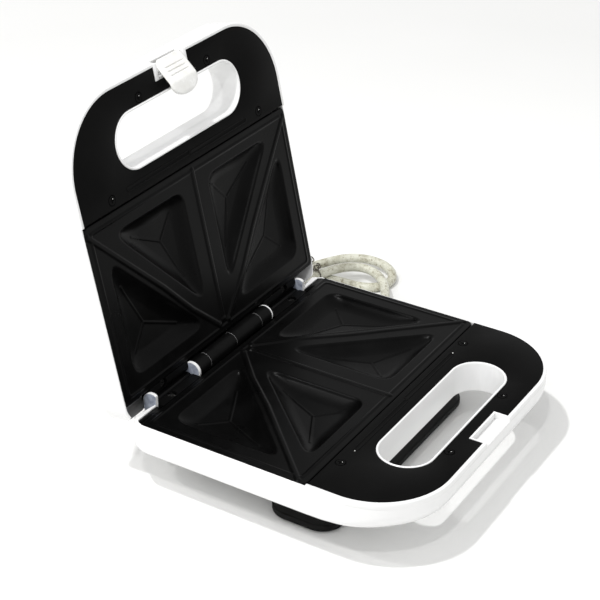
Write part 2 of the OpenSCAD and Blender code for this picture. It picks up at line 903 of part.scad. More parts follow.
// ---- lamps ----

module neon_lamps() {
    color("orange") in_lid() for (x = lamp_x)
        translate([x, -lamp_y - 4, lamp_z + lamp_r]) rotate([-90, 0, 0])
            cylinder(r = lamp_r, h = 8, $fn = 48);
}

module lamp_lenses() {
    color("red") in_lid() for (x = lamp_x)
        translate([x, -lamp_y, under_z - crown_h]) {
            translate([0, 0, -lens_flange]) cylinder(r = lens_r + 1, h = lens_flange);
            translate([0, 0, -0.1]) cylinder(r = lens_r, h = wall_t + 0.1);
        }
}

// ---- latch ----

// The latch is drawn folded onto the lid; its frame is the lid's.
module latch_bar(from, to, r0, r1, w, fn) {
    hull() for (p = [[from, r0], [to, r1]])
        translate([-w / 2, p[0][0], p[0][1]]) rotate([0, 90, 0]) cylinder(r = p[1], h = w, $fn = fn);
}

pivot = [-latch_y, -latch_z];
lever_a = 37;
lever_end = pivot + lever_l * [cos(lever_a), sin(lever_a)];
tongue_end = lever_end + tongue_l * [cos(8), -sin(8)];

module latch() {
    color("whitesmoke") in_lid() difference() {
        union() {
            translate([-latch_w / 2, pivot[0], pivot[1]]) rotate([0, 90, 0])
                cylinder(r = 2.6, h = latch_w);
            latch_bar(pivot, lever_end, 1.8, 1.3, latch_w, 24);
            latch_bar(lever_end, tongue_end, 1.3, 1, latch_w - 5, 24);
        }
        latch_rod(latch_pin_r + pin_fit, latch_w);
    }
}

module latch_rod(r, half) {
    translate([-half, pivot[0], pivot[1]]) rotate([0, 90, 0]) cylinder(r = r, h = 2 * half);
}

module latch_pin() {
    color("silver") in_lid() latch_rod(latch_pin_r, latch_w / 2 + latch_gap + cheek_t);
}

module latch_pin_bore() {
    latch_rod(latch_pin_r, latch_w / 2 + latch_gap + cheek_t + 2);
}

// ---- mains lead ----

// Floor frame: x, distance behind the hinge axis, height above the floor.
module on_floor() {
    translate([0, hinge_y, 0]) children();
}

module strain_relief() {
    color("gainsboro") on_floor() translate([exit_x, rear_reach, exit_h]) rotate([-90, 0, 0]) {
        cylinder(r = 7, h = 2.4);
        cylinder(r1 = cord_d / 2 + 2.4, r2 = cord_d / 2 + 0.5, h = relief_l);
    }
}

function unit(v) = v / norm(v);
function heading(list, i) = unit(list[min(i + 1, len(list) - 1)] - list[max(i - 1, 0)]);

// Sweeps an eight-sided ring along a list of points.
module tube(list, r) {
    n = 8;
    rings = [for (i = [0:len(list) - 1])
        let (t = heading(list, i), side = unit(cross(t, [0, 0, 1])), up = cross(side, t))
        for (k = [0:n - 1])
            list[i] + r * (cos(k * 360 / n + 22.5) * side + sin(k * 360 / n + 22.5) * up)];
    walls = [for (i = [0:len(list) - 2], k = [0:n - 1])
        [i * n + k, i * n + (k + 1) % n, (i + 1) * n + (k + 1) % n, (i + 1) * n + k]];
    last = (len(list) - 1) * n;
    caps = [[for (k = [n - 1:-1:0]) k], [for (k = [0:n - 1]) last + k]];
    polyhedron(points = rings, faces = concat(walls, caps));
}

module mains_cord() {
    color("gainsboro") on_floor() tube(cord_path, cord_d / 2);
}

module hank_frame() {
    on_floor() translate([hank_end[0], hank_end[1], 0]) rotate(180 - hank_angle)
        translate([hank_run / 2, 0, 0]) children();
}

module cord_hank() {
    color("gainsboro") hank_frame() linear_extrude(hank_high) difference() {
        slot_plan(hank_run + 2 * hank_r + hank_wide, 2 * hank_r + hank_wide);
        slot_plan(hank_run + 2 * hank_r - hank_wide, 2 * hank_r - hank_wide);
    }
}

// Wire tie round one run of the hank.
module cord_tie() {
    color("dimgray") hank_frame() for (s = [-1, 1]) translate([-18, s * hank_r, 0]) difference() {
        translate([0, -hank_wide / 2 - 1, 0]) cube([3, hank_wide + 2, hank_high + 1]);
        translate([-1, -hank_wide / 2 - 0.1, -0.1]) cube([5, hank_wide + 0.2, hank_high + 0.2]);
    }
}

module plug_frame() {
    on_floor() translate([plug_at[0], plug_at[1], 0]) rotate(plug_angle) children();
}

module plug_body() {
    color("gainsboro") plug_frame() difference() {
        union() {
            translate([0, 0, 9]) rotate([0, 90, 0]) cylinder(r = 5, h = 14);
            translate([12, -12.5, 1]) cube([plug_l - 12, 25, 16]);
        }
        for (s = [-1, 1]) translate([plug_l - 6, s * 6.35 - 0.9, 9 - 3.3]) cube([10, 1.8, 6.6]);
    }
}

module plug_pins() {
    color("gold") plug_frame() for (s = [-1, 1])
        translate([plug_l - 6, s * 6.35 - 0.75, 9 - 3.15]) cube([6 + 17, 1.5, 6.3]);
}

base_shell();
base_handle_panel();
base_panel_screws();
lower_plate();
lower_plate_screws();
lower_heater();
lower_heater_clamps();
lower_heat_tray();
tray_posts();
thermostat();
terminal_block();
front_foot();
rear_foot();
foot_screws();
foot_pads();
base_hinge_bracket();
base_hinge_screws();
hinge_pin();
inner_lead();
cord_clamp();
strain_relief();
mains_cord();
cord_hank();
cord_tie();
plug_body();
plug_pins();
lid_shell();
lid_handle_panel();
lid_panel_screws();
upper_plate();
upper_plate_screws();
upper_heater();
upper_heater_clamps();
upper_heat_tray();
lid_tray_posts();
thermal_fuse();
lid_hinge_bracket();
lid_hinge_screws();
neon_lamps();
lamp_lenses();
latch();
latch_pin();
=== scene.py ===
"""Looks of the sandwich toaster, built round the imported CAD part. Lengths are in millimetres.

As in the CAD, each half is drawn in its own frame: the origin is on the hinge axis, -Y points to the
handle and -Z into the base. The lid is the base mirrored and turned open.
"""
import bpy
import bmesh
import json
import math
import numpy as np
from mathutils import Matrix, Vector


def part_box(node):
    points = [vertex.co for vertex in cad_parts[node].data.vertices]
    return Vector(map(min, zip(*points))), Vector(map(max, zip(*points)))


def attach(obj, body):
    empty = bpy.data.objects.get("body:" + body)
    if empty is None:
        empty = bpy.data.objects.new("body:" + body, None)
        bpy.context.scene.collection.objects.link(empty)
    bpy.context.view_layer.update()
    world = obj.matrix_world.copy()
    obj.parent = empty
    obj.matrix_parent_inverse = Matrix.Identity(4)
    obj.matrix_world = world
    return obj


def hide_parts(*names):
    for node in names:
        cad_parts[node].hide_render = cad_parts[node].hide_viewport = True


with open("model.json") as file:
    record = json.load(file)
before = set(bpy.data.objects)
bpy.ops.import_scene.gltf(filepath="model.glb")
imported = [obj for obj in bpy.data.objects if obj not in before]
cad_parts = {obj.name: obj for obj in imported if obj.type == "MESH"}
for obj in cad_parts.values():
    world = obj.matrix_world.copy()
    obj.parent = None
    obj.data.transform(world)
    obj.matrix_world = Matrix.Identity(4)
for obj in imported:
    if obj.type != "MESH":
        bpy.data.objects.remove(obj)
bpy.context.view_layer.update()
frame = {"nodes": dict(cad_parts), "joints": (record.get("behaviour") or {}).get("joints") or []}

MM = 0.001

# plan of the body, as in the CAD
BODY_W = 220
FRONT_REACH = 197
BASE_REACH, LID_REACH = 6, 8
FRONT_R, BASE_REAR_R, LID_REAR_R = 50, 18, 15

# heights in the frame of a half
RIM = -0.5
PLATE = RIM - 1.2
UNDER = RIM - 22
BELLY = UNDER - 12
FLOOR = BELLY - 16

# plates, from the hinge axis towards the handle
PLATE_X = BODY_W / 2 - 1.3
PLATE_BACK, PLATE_FRONT = 7.8, 125.2

# grip hole: its middle, and from there to the centre of a round end
GRIP_Y = -159.4
GRIP_X = 47.4

LATCH_Y, LATCH_Z = -192, -2.2
EAR_X = 85.4
EXIT_X, EXIT_H = -10, 24

OPEN = frame["joints"][0]["range_deg"][1]
HINGE_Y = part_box("base_shell")[0][1] / MM + FRONT_REACH
HINGE = Matrix.Translation((0, HINGE_Y * MM, -FLOOR * MM))
BASE = HINGE @ Matrix.Scale(MM, 4)
LID = (HINGE @ Matrix.Rotation(math.radians(-OPEN), 4, "X") @ Matrix.Diagonal((1, 1, -1, 1))
       @ Matrix.Scale(MM, 4))
GROUND = Matrix.Translation((0, HINGE_Y * MM, 0)) @ Matrix.Scale(MM, 4)


# ---------------------------------------------------------------- camera

def make_camera():
    """Camera in metres, solved from the corners and holes that the photo shows."""
    data = bpy.data.cameras.new("view")
    data.lens = 96.54
    data.sensor_width = 36
    data.sensor_fit = "HORIZONTAL"
    data.clip_end = 20
    cam = bpy.data.objects.new("view", data)
    cam.location = (-0.75117, -0.454605, 0.60515)
    cam.rotation_euler = (math.radians(60.19), 0, math.radians(-58.09))
    bpy.context.collection.objects.link(cam)
    bpy.context.scene.camera = cam


make_camera()


# ---------------------------------------------------------------- materials

def new_material(name):
    m = bpy.data.materials.new(name)
    m.use_nodes = True
    return m, m.node_tree, m.node_tree.nodes["Principled BSDF"]


def noise(tree, scale, detail, rough=0.5, stretch=None):
    """Noise in object space; stretch scales it along each axis."""
    coords = tree.nodes.new("ShaderNodeTexCoord")
    n = tree.nodes.new("ShaderNodeTexNoise")
    n.inputs["Scale"].default_value = scale
    n.inputs["Detail"].default_value = detail
    n.inputs["Roughness"].default_value = rough
    place = coords.outputs["Object"]
    if stretch:
        mapping = tree.nodes.new("ShaderNodeMapping")
        mapping.inputs["Scale"].default_value = stretch
        tree.links.new(place, mapping.inputs["Vector"])
        place = mapping.outputs["Vector"]
    tree.links.new(place, n.inputs["Vector"])
    return n.outputs["Fac"]


def ramp(tree, source, stops):
    """Colour ramp with a stop at each given place."""
    r = tree.nodes.new("ShaderNodeValToRGB")
    while len(r.color_ramp.elements) < len(stops):
        r.color_ramp.elements.new(0.5)
    for element, (place, colour) in zip(r.color_ramp.elements, stops):
        element.position = place
        element.color = (*colour, 1)
    tree.links.new(source, r.inputs["Fac"])
    return r.outputs["Color"]


def to_range(tree, source, low, high, start=0.3, end=0.7):
    m = tree.nodes.new("ShaderNodeMapRange")
    m.inputs["From Min"].default_value = start
    m.inputs["From Max"].default_value = end
    m.inputs["To Min"].default_value = low
    m.inputs["To Max"].default_value = high
    tree.links.new(source, m.inputs["Value"])
    return m.outputs["Result"]


def rounded(tree, radius):
    """Normal that looks rounded at the edges."""
    b = tree.nodes.new("ShaderNodeBevel")
    b.samples = 4
    b.inputs["Radius"].default_value = radius * MM
    return b.outputs["Normal"]


def bump(tree, source, strength, distance, normal=None):
    b = tree.nodes.new("ShaderNodeBump")
    b.inputs["Strength"].default_value = strength
    b.inputs["Distance"].default_value = distance * MM
    tree.links.new(source, b.inputs["Height"])
    if normal is not None:
        tree.links.new(normal, b.inputs["Normal"])
    return b.outputs["Normal"]


def grey(level):
    return (level, level, level)


def simple(name, low, high, rough, grain, depth, rough_low=None, metal=0.0, edge=0.0, blotch=60,
           stretch=None, spec=0.5):
    """Colour between two tones by a slow noise, uneven gloss, and a fine grain in the normal.

    rough and rough_low are the dullest and the glossiest roughness, grain and depth the scale and height
    of the grain, blotch the scale of the slow noise, and edge the radius of the edges.
    """
    m, tree, p = new_material(name)
    slow = noise(tree, blotch, 4, 0.6)
    tree.links.new(ramp(tree, slow, [(0.3, low), (0.7, high)]), p.inputs["Base Color"])
    glossiest = rough if rough_low is None else rough_low
    tree.links.new(to_range(tree, slow, glossiest, rough), p.inputs["Roughness"])
    p.inputs["Metallic"].default_value = metal
    p.inputs["Specular IOR Level"].default_value = spec
    fine = noise(tree, grain, 2, 0.5, stretch)
    start = rounded(tree, edge) if edge else None
    tree.links.new(bump(tree, fine, 0.5, depth, start), p.inputs["Normal"])
    return m


DRAWN = (0.05, 1, 1)    # grain drawn out along X

WHITE = simple("white_plastic", (0.77, 0.77, 0.765), grey(0.81), 0.24, 900, 0.012, 0.16, blotch=14)
PANEL = simple("black_panel", grey(0.0033), (0.0048, 0.0048, 0.0047), 0.40, 2600, 0.05, 0.32, blotch=25,
               spec=0.022)
COATING = simple("nonstick_coating", grey(0.0012), grey(0.0026), 0.37, 1500, 0.025, 0.26, blotch=40,
                 spec=0.065)
BLACK = simple("black_plastic", grey(0.0016), grey(0.0034), 0.42, 1200, 0.02, edge=0.35, spec=0.075)
FOOT = simple("foot_plastic", (0.003, 0.003, 0.0028), (0.006, 0.006, 0.0057), 0.5, 700, 0.05, blotch=80,
              spec=0.12)
# painted shade: bluish grey for the end faces of the white ears and ribs, as they look in the shade between
# lid and base
EAR_END_PAINTED_SHADE = simple("ear_end_painted_shade", (0.20, 0.22, 0.28), (0.46, 0.50, 0.58), 0.22, 500, 0.05, 0.14, blotch=260)
SCREW = simple("screw_black_oxide", grey(0.014), (0.05, 0.049, 0.047), 0.36, 3000, 0.02, metal=0.6,
               edge=0.12, spec=0.4)
PIN = simple("pin_steel", grey(0.42), (0.6, 0.6, 0.59), 0.3, 2200, 0.01, metal=1.0, stretch=DRAWN)
# painted highlight: light grey for the edges at the barrel joints
SEAM_PAINTED_HIGHLIGHT = simple("barrel_seam_painted_highlight", grey(0.10), grey(0.30), 0.4, 1500, 0.02, blotch=900)
HEATER = simple("heater_steel", (0.10, 0.085, 0.07), (0.24, 0.21, 0.18), 0.45, 1500, 0.03, metal=1.0)
TRAY = simple("tray_steel", (0.55, 0.54, 0.52), (0.75, 0.75, 0.74), 0.35, 800, 0.02, metal=1.0,
              stretch=DRAWN)
PHENOLIC = simple("phenolic", (0.20, 0.11, 0.05), (0.30, 0.18, 0.09), 0.5, 1500, 0.03)
CERAMIC = simple("ceramic", (0.62, 0.6, 0.54), (0.72, 0.7, 0.64), 0.25, 900, 0.02, edge=0.3)
PAD = simple("rubber_pad", grey(0.012), grey(0.02), 0.75, 1500, 0.05, edge=0.4)
TIE = simple("tie_wire", (0.05, 0.045, 0.035), (0.24, 0.22, 0.18), 0.4, 1500, 0.02, metal=0.6, blotch=700)
BRASS = simple("plug_brass", (0.5, 0.38, 0.16), (0.68, 0.55, 0.28), 0.28, 1800, 0.01, metal=1.0, edge=0.2)
# light plastic of the latch; the painted glints on the panels take this colour too
LATCH_AND_GLINT_TONE = simple("latch_plastic", (0.72, 0.715, 0.685), (0.80, 0.80, 0.785), 0.3, 900, 0.02, 0.2, blotch=120)


def lead_material():
    """Cream sheath with grey-brown dirt in streaks and spots."""
    colour_a, colour_b, colour_out = 6, 7, 2    # the colour sockets of a mix node
    m, tree, p = new_material("lead_sheath")
    streaks = noise(tree, 90, 8, 0.75)
    spots = noise(tree, 420, 8, 0.7)
    base = ramp(tree, streaks, [(0.33, (0.22, 0.20, 0.14)), (0.42, (0.45, 0.44, 0.35)),
                                (0.52, (0.58, 0.58, 0.49)), (0.7, (0.64, 0.64, 0.56))])
    dirt = ramp(tree, spots, [(0.34, (0.22, 0.17, 0.11)), (0.41, (0.75, 0.72, 0.66)), (0.47, grey(1))])
    mix = tree.nodes.new("ShaderNodeMix")
    mix.data_type = "RGBA"
    mix.blend_type = "MULTIPLY"
    mix.inputs["Factor"].default_value = 0.9
    tree.links.new(base, mix.inputs[colour_a])
    tree.links.new(dirt, mix.inputs[colour_b])
    tree.links.new(mix.outputs[colour_out], p.inputs["Base Color"])
    p.inputs["Roughness"].default_value = 0.42
    tree.links.new(bump(tree, streaks, 0.3, 0.15), p.inputs["Normal"])
    return m


def glass_material(name, colour):
    m, tree, p = new_material(name)
    n = noise(tree, 700, 2)
    tree.links.new(ramp(tree, n, [(0.3, [c * 0.8 for c in colour]), (0.7, colour)]), p.inputs["Base Color"])
    tree.links.new(to_range(tree, n, 0.1, 0.2), p.inputs["Roughness"])
    p.inputs["Transmission Weight"].default_value = 0.6
    tree.links.new(bump(tree, n, 0.3, 0.03, rounded(tree, 0.3)), p.inputs["Normal"])
    return m


LEAD = lead_material()
LENS = glass_material("lens_red", (0.55, 0.04, 0.02))
LAMP = glass_material("lamp_glass", (0.8, 0.35, 0.12))


# ---------------------------------------------------------------- mesh tools

def arc(cx, cy, r, a0, a1, n):
    """Points along an arc in n steps, from angle a0 to a1 in degrees."""
    angles = [math.radians(a0 + (a1 - a0) * i / n) for i in range(n + 1)]
    return [(cx + r * math.cos(a), cy + r * math.sin(a)) for a in angles]


def circle(cx, cy, r, n):
    return arc(cx, cy, r, 0, 360 * (n - 1) / n, n - 1)


def stadium(cx, cy, straight, r, n):
    """Slot with round ends along X; straight is from its middle to the centre of an end."""
    return arc(cx + straight, cy, r, -90, 90, n) + arc(cx - straight, cy, r, 90, 270, n)


def outline(w, front, rear, rf, rr, inset, side=(), front_x=(), rear_x=(), n=24):
    """Round-cornered plan, counter-clockwise, the handle at -Y, with the same number of points at any inset.

    side, front_x and rear_x are extra points along the straight stretches.
    """
    hw, f, r = w / 2 - inset, front - inset, rear - inset
    rf, rr = max(rf - inset, 0.05), max(rr - inset, 0.05)
    pts = arc(hw - rf, -f + rf, rf, -90, 0, n) + [(hw, y) for y in side]
    pts += arc(hw - rr, r - rr, rr, 0, 90, n) + [(x, r) for x in reversed(rear_x)]
    pts += arc(-hw + rr, r - rr, rr, 90, 180, n) + [(-hw, y) for y in reversed(side)]
    pts += arc(-hw + rf, -f + rf, rf, 180, 270, n) + [(x, -f) for x in front_x]
    return pts


def soft_step(v, a, b):
    t = min(max((v - a) / (b - a), 0), 1)
    return t * t * (3 - 2 * t)


def mixed(p, q, k):
    """Point between p and q, at p where k is 0."""
    return tuple(a + (b - a) * k for a, b in zip(p, q))


class Build:
    """A mesh that is made of rings of points, each joined to the next."""

    def __init__(self):
        self.bm = bmesh.new()

    def ring3(self, pts):
        return [self.bm.verts.new(p) for p in pts]

    def ring(self, pts, z):
        """Ring at one height, or at a height that is a function of x and y."""
        return self.ring3([(x, y, z(x, y) if callable(z) else z) for x, y in pts])

    def bridge(self, a, b, closed):
        """Quads from one ring to the next."""
        n = len(a)
        for i in range(n if closed else n - 1):
            j = (i + 1) % n
            self.bm.faces.new((a[i], a[j], b[j], b[i]))

    def stack(self, rings, closed=True):
        for a, b in zip(rings, rings[1:]):
            self.bridge(a, b, closed)
        return rings

    def cap(self, ring):
        return self.bm.faces.new(ring)

    def column(self, rings, bottom=True):
        """Stack that is capped at its last ring and, unless bottom is false, at its first."""
        self.stack(rings)
        if bottom:
            self.cap(rings[0])
        self.cap(rings[-1])

    def sheet(self, rows):
        """Quads between rows of points."""
        return self.stack([self.ring3(row) for row in rows], closed=False)

    def fill(self, loops):
        """Flat face inside the first loop, with the others as holes in it."""
        edges = []
        for loop in loops:
            for i in range(len(loop)):
                a, b = loop[i], loop[(i + 1) % len(loop)]
                edges.append(self.bm.edges.get((a, b)) or self.bm.edges.new((a, b)))
        bmesh.ops.triangle_fill(self.bm, use_beauty=True, use_dissolve=False, edges=edges)

    def put(self, name, material):
        """Object made of the mesh as it is."""
        mesh = bpy.data.meshes.new(name)
        self.bm.to_mesh(mesh)
        self.bm.free()
        ob = bpy.data.objects.new(name, mesh)
        bpy.context.collection.objects.link(ob)
        mesh.materials.append(material)
        return ob

    def done(self, name, matrix, material, body, replaces=(), angle=32):
        """Welds and smooths the mesh, and puts it on its body; edges sharper than angle stay sharp."""
        bm = self.bm
        bmesh.ops.remove_doubles(bm, verts=bm.verts, dist=0.0008)
        bmesh.ops.recalc_face_normals(bm, faces=bm.faces)
        if matrix.to_3x3().determinant() < 0:
            bmesh.ops.reverse_faces(bm, faces=bm.faces)
        bm.transform(matrix)
        ob = self.put(name, material)
        for f in ob.data.polygons:
            f.use_smooth = True
        ob.data.set_sharp_from_angle(angle=math.radians(angle))
        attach(ob, body)
        if replaces:
            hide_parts(*replaces)
        return ob


def tube(b, pts, radius, sides):
    """Round tube along the points."""
    rings = []
    for i, p in enumerate(pts):
        along = (pts[min(i + 1, len(pts) - 1)] - pts[max(i - 1, 0)]).normalized()
        ref = Vector((0, 0, 1)) if abs(along.z) < 0.95 else Vector((0, 1, 0))
        side = along.cross(ref).normalized()
        up = side.cross(along)
        rings.append(b.ring3([p + side * u + up * v for u, v in circle(0, 0, radius, sides)]))
    b.column(rings)


# ---------------------------------------------------------------- mains lead

CORD_R = 3.45
CORD_LIES = 3.6    # height of its middle where it lies on the floor
PLUG_AT = (52.2, 58.3, 9.0)
PLUG_TURN = 187


def hank_path():
    """Lead from the relief tip to the hank, two long loops laid over each other, and on to the plug."""
    route = [(EXIT_X, 34, EXIT_H), (EXIT_X, 40, EXIT_H), (-10, 50, 21.4), (-9.6, 58, 17.4), (-8.4, 66, 12.6),
             (-6, 74, 8.4), (-2, 82, 5.6), (4, 89, 4.2), (11, 94.6), (20, 99), (30, 102.6), (41, 104.8),
             (52, 105.6), (62, 105.8), (72, 105.6), (82, 104.9)]
    outer = [(100, 101.2), (125, 92.6), (148, 79.6, 4), (167, 63.5, 5), (184.7, 48.2, 6.5), (200, 42.6, 7),
             (210, 34.8, 7.5), (216.5, 24.2, 7.5), (219.4, 13.4, 7), (218.6, 1.6, 6), (213.6, -7.2, 5),
             (204.8, -12.8, 4.2), (194.6, -12.8), (186.0, -7.6), (181.4, 1.2), (180.2, 12.2), (181.4, 24.9),
             (180, 34), (173, 42.5), (161, 52.5), (147, 62.5), (132, 73), (118, 82.5), (104, 90.5),
             (90, 94.6), (77, 93), (67.5, 86), (64.3, 75.5), (67.6, 65.5), (76, 58.8), (88, 56.6)]
    inner = [(102, 56, 3.8), (117, 53.6, 4.6), (132, 50.2, 6.5), (148, 44.5, 8.8), (158, 40.2, 10.1),
             (167.2, 36, 10.7), (180.8, 30.8, 10.7), (192, 24.3, 10.6), (198.8, 16.4, 10.5),
             (199.9, 6.3, 10.4), (194.4, -5.9, 10.6), (184, -16.6, 10.6), (172.5, -23.6, 8.6),
             (160, -27.6, 6), (148, -28, 4.2), (138, -23.6), (131.4, -13.6), (128.4, 0), (127, 14),
             (123.4, 28), (116, 38), (106, 43.2, 5.2), (94, 46.6, 8), (82, 49.8, 10.4), (72, 53.2, 10.6),
             (62, 56.6, 9.6), PLUG_AT]
    return [Vector(p if len(p) == 3 else (*p, CORD_LIES)) for p in route + outer + inner]


def smooth_path(pts, rounds):
    """Averages each point with its neighbours; the two points at each end stay."""
    for _ in range(rounds):
        middle = [(a + b * 2 + c) / 4 for a, b, c in zip(pts[1:-3], pts[2:-2], pts[3:-1])]
        pts = pts[:2] + middle + pts[-2:]
    return pts


def resample(pts, step):
    """The same path with points at even distances of about step."""
    lengths = [0.0]
    for a, b in zip(pts, pts[1:]):
        lengths.append(lengths[-1] + (b - a).length)
    n = int(lengths[-1] / step)
    out = []
    k = 0
    for i in range(n + 1):
        d = lengths[-1] * i / n
        while k < len(lengths) - 2 and lengths[k + 1] < d:
            k += 1
        part = (d - lengths[k]) / max(lengths[k + 1] - lengths[k], 1e-9)
        out.append(pts[k].lerp(pts[k + 1], min(max(part, 0), 1)))
    return out


def make_lead():
    pts = resample(smooth_path(hank_path(), 1), 3.0)
    pts = resample(smooth_path(pts, 3), 2.4)
    b = Build()
    tube(b, pts, CORD_R, 16)
    ob = b.done("mains_lead", GROUND, LEAD, "base", ("mains_cord", "cord_hank"))
    world = [GROUND @ p for p in pts]
    length = sum((q - p).length for p, q in zip(world, world[1:]))
    return ob, world, length


lead, lead_path, lead_length = make_lead()


def make_plug():
    """Two-pin plug: round neck with grip rings, then a soft-cornered body."""
    at = Matrix.Translation(PLUG_AT) @ Matrix.Rotation(math.radians(PLUG_TURN), 4, "Z")
    # distance along the plug, half width, half height, and a power: 1 is round, less is squarer
    profile = [(0.0, 4.2, 4.2, 1), (0.6, 4.9, 4.9, 1), (3.6, 4.9, 4.9, 1), (4.0, 4.2, 4.2, 1),
               (5.2, 4.2, 4.2, 1), (5.6, 4.95, 4.95, 1), (7.6, 4.95, 4.95, 1), (8.0, 4.3, 4.3, 1),
               (9.2, 4.3, 4.3, 1), (9.6, 5.0, 5.0, 1), (12.0, 6.2, 6.0, 0.8), (14.5, 11.0, 7.4, 0.5),
               (17.0, 12.2, 7.9, 0.4), (24.0, 12.4, 7.95, 0.38), (30.0, 12.2, 7.8, 0.38),
               (31.4, 11.6, 7.2, 0.38), (32.0, 10.4, 6.0, 0.4)]
    b = Build()
    rings = []
    for x, half_w, half_h, power in profile:
        rings.append(b.ring3([(x, half_w * math.copysign(abs(u) ** power, u),
                               half_h * math.copysign(abs(v) ** power, v)) for u, v in circle(0, 0, 1, 40)]))
    b.column(rings)
    return b.done("plug", GROUND @ at, LEAD, "base", ("plug_body",), angle=40)


plug = make_plug()


def make_tie(name, centre, along, replaces):
    """Wire tie round the strands, with two open twisted loops on top."""
    ring_r, pitch, wire_r = 4.1, 0.04, 0.55
    centre, d, z = Vector(centre), Vector((*along, 0)).normalized(), Vector((0, 0, 1))
    side = Vector((-d.y, d.x, 0))
    b = Build()
    tube(b, [centre + side * u + z * v + d * (pitch * k)
             for k, (u, v) in enumerate(arc(0, 0, ring_r, 0, 360, 36))], wire_r, 8)
    top = centre + z * 4.3 + d * 0.7
    for turn, tall in ((0, 2.6), (math.pi, 2.2)):
        loop = []
        for k in range(31):
            a = math.radians(-90 + 12 * k)
            out = (2.2 + 0.35 * math.cos(6 * a + turn)) * math.cos(a) - turn * 0.5
            twist = 0.9 * math.sin(5 * a + turn)
            loop.append(top + z * (tall + tall * math.sin(a)) + d * out + side * twist)
        tube(b, loop, 0.5, 8)
    b.done(name, GROUND, TIE, "base", replaces)


make_tie("tie_one", (182.5, 50.0, 6.4), (0.76, -0.65), ("cord_tie",))
make_tie("tie_two", (169.0, 35.4, 10.7), (0.93, -0.36), ())


# ---------------------------------------------------------------- shells

WALL, THIN_WALL = 2.25, 1.25    # at the handle and beside the plate
GRIP_R = 18.45                  # outside of the white tube, at the round ends of the grip hole
POCKET_X = 15.9                 # half width of the latch pocket
LIP_X, LIP_Y = 17.1, -185.5     # outside of its lip
RIB_X = 42.25

# extra points along the straight sides of the plan, close together where the rim changes its height
SIDE_Y = (-137, -126.6, -126.3, -125.9, -125.6, -120, -90, -60, -30, -16)
FRONT_X = (-17.4, -17.2, -15.9, -15.8, -14.3, -14.0, 0, 14.0, 14.3, 15.8, 15.9, 17.2, 17.4)
REAR_X = (-87.2, -86.7, -86.5, -60, -44.4, -42, -20, 20, 42, 44.4, 60, 86.5, 86.7, 87.2)
STOP_SLOPE = math.tan(math.radians((180 - OPEN) / 2))


def at_handle(y):
    """0 beside the plate and 1 at the handle, with a short step between them."""
    return soft_step(-y, 125.75, 126.45)


def rim_height(x, y):
    """Height of the rim: full at the handle, a little lower beside the plate, cut away behind the hinge."""
    top = PLATE + (RIM - PLATE) * at_handle(y)
    if y > -3:
        between_ears = 0.6 if abs(x) < 86.6 else 0
        top = min(top, -0.7 - max(y, 0) / STOP_SLOPE - between_ears)
    if y < -190 and abs(x) < POCKET_X:
        top = RIM - 3.0
    return top


def shell_wall(b, rear, rear_r, edge, handle_edge, notched):
    """Outer wall with its rounded rim and lower edge; the lid's is notched where the latch comes through.

    edge and handle_edge are the radii of the lower edge beside the plate and under the handle.
    """
    rim_r, step_in, notch_z = 0.8, 0.12, -6.9

    def plan(inset):
        return outline(BODY_W, FRONT_REACH, rear, FRONT_R, rear_r, inset, SIDE_Y, FRONT_X, REAR_X)

    def top(drop, limit=math.inf):
        """Height function: the rim less drop, at most limit."""
        def height(x, y):
            in_notch = notched and y < -185 and abs(x) < 14.1
            return min((notch_z if in_notch else rim_height(x, y)) - drop, limit)
        return height

    def inner_ring(inset, height):
        """Inner side of the wall, which is thinner beside the plate than at the handle."""
        pts = [mixed(thin, full, at_handle(thin[1])) for thin, full in zip(plan(THIN_WALL), plan(inset))]
        return b.ring(pts, height)

    rings = [inner_ring(WALL, top(13, -13.5)), inner_ring(WALL, top(0.25)),
             inner_ring(WALL - 0.25, top(0.05))]
    for u, v in arc(0, 0, rim_r, 0, 90, 5):
        rings.append(b.ring(plan(rim_r - v), top(rim_r - u)))
    # below its rim the wall steps in a little
    rings.append(b.ring(plan(0), top(0.9, -4.4)))
    rings.append(b.ring(plan(step_in), top(1.2, -4.7)))
    rings.append(b.ring(plan(step_in), top(1.5, -5.0)))
    # the lower edge is rounder under the handle
    for u, v in arc(0, 0, 1, 0, 90, 12):
        beside, under = [[(*p, UNDER + r * (1 - v)) for p in plan(step_in + r * (1 - u))]
                         for r in (edge, handle_edge)]
        rings.append(b.ring3([mixed(p, q, soft_step(-p[1], 130, 185)) for p, q in zip(beside, under)]))
    b.stack(rings)
    return rings[-1]


def grip_tube(b):
    """White tube through the handle, with its raised rim flush with the panel."""
    profile = ((GRIP_R, -6), (GRIP_R, RIM - 0.1), (18.1, RIM + 0.22), (17.7, RIM + 0.32), (17.4, RIM + 0.26),
               (17.05, RIM - 0.05), (16.9, RIM - 0.6), (16.7, -10), (16.6, UNDER + 2.0),
               (16.75, UNDER + 1.0), (17.3, UNDER + 0.3), (18.2, UNDER))
    return b.stack([b.ring(stadium(0, GRIP_Y, GRIP_X, r, 32), z) for r, z in profile])[-1]


def bulge(b, front, rear, corner_r, side, profile):
    """Raised part of a shell's outer face; its profile holds insets and heights."""
    rings = []
    for inset, z in profile:
        plan = outline(BODY_W - 2 * inset, front - inset, rear - inset, corner_r, corner_r, 0, side, n=10)
        rings.append(b.ring(plan, z))
    b.column(rings, bottom=False)


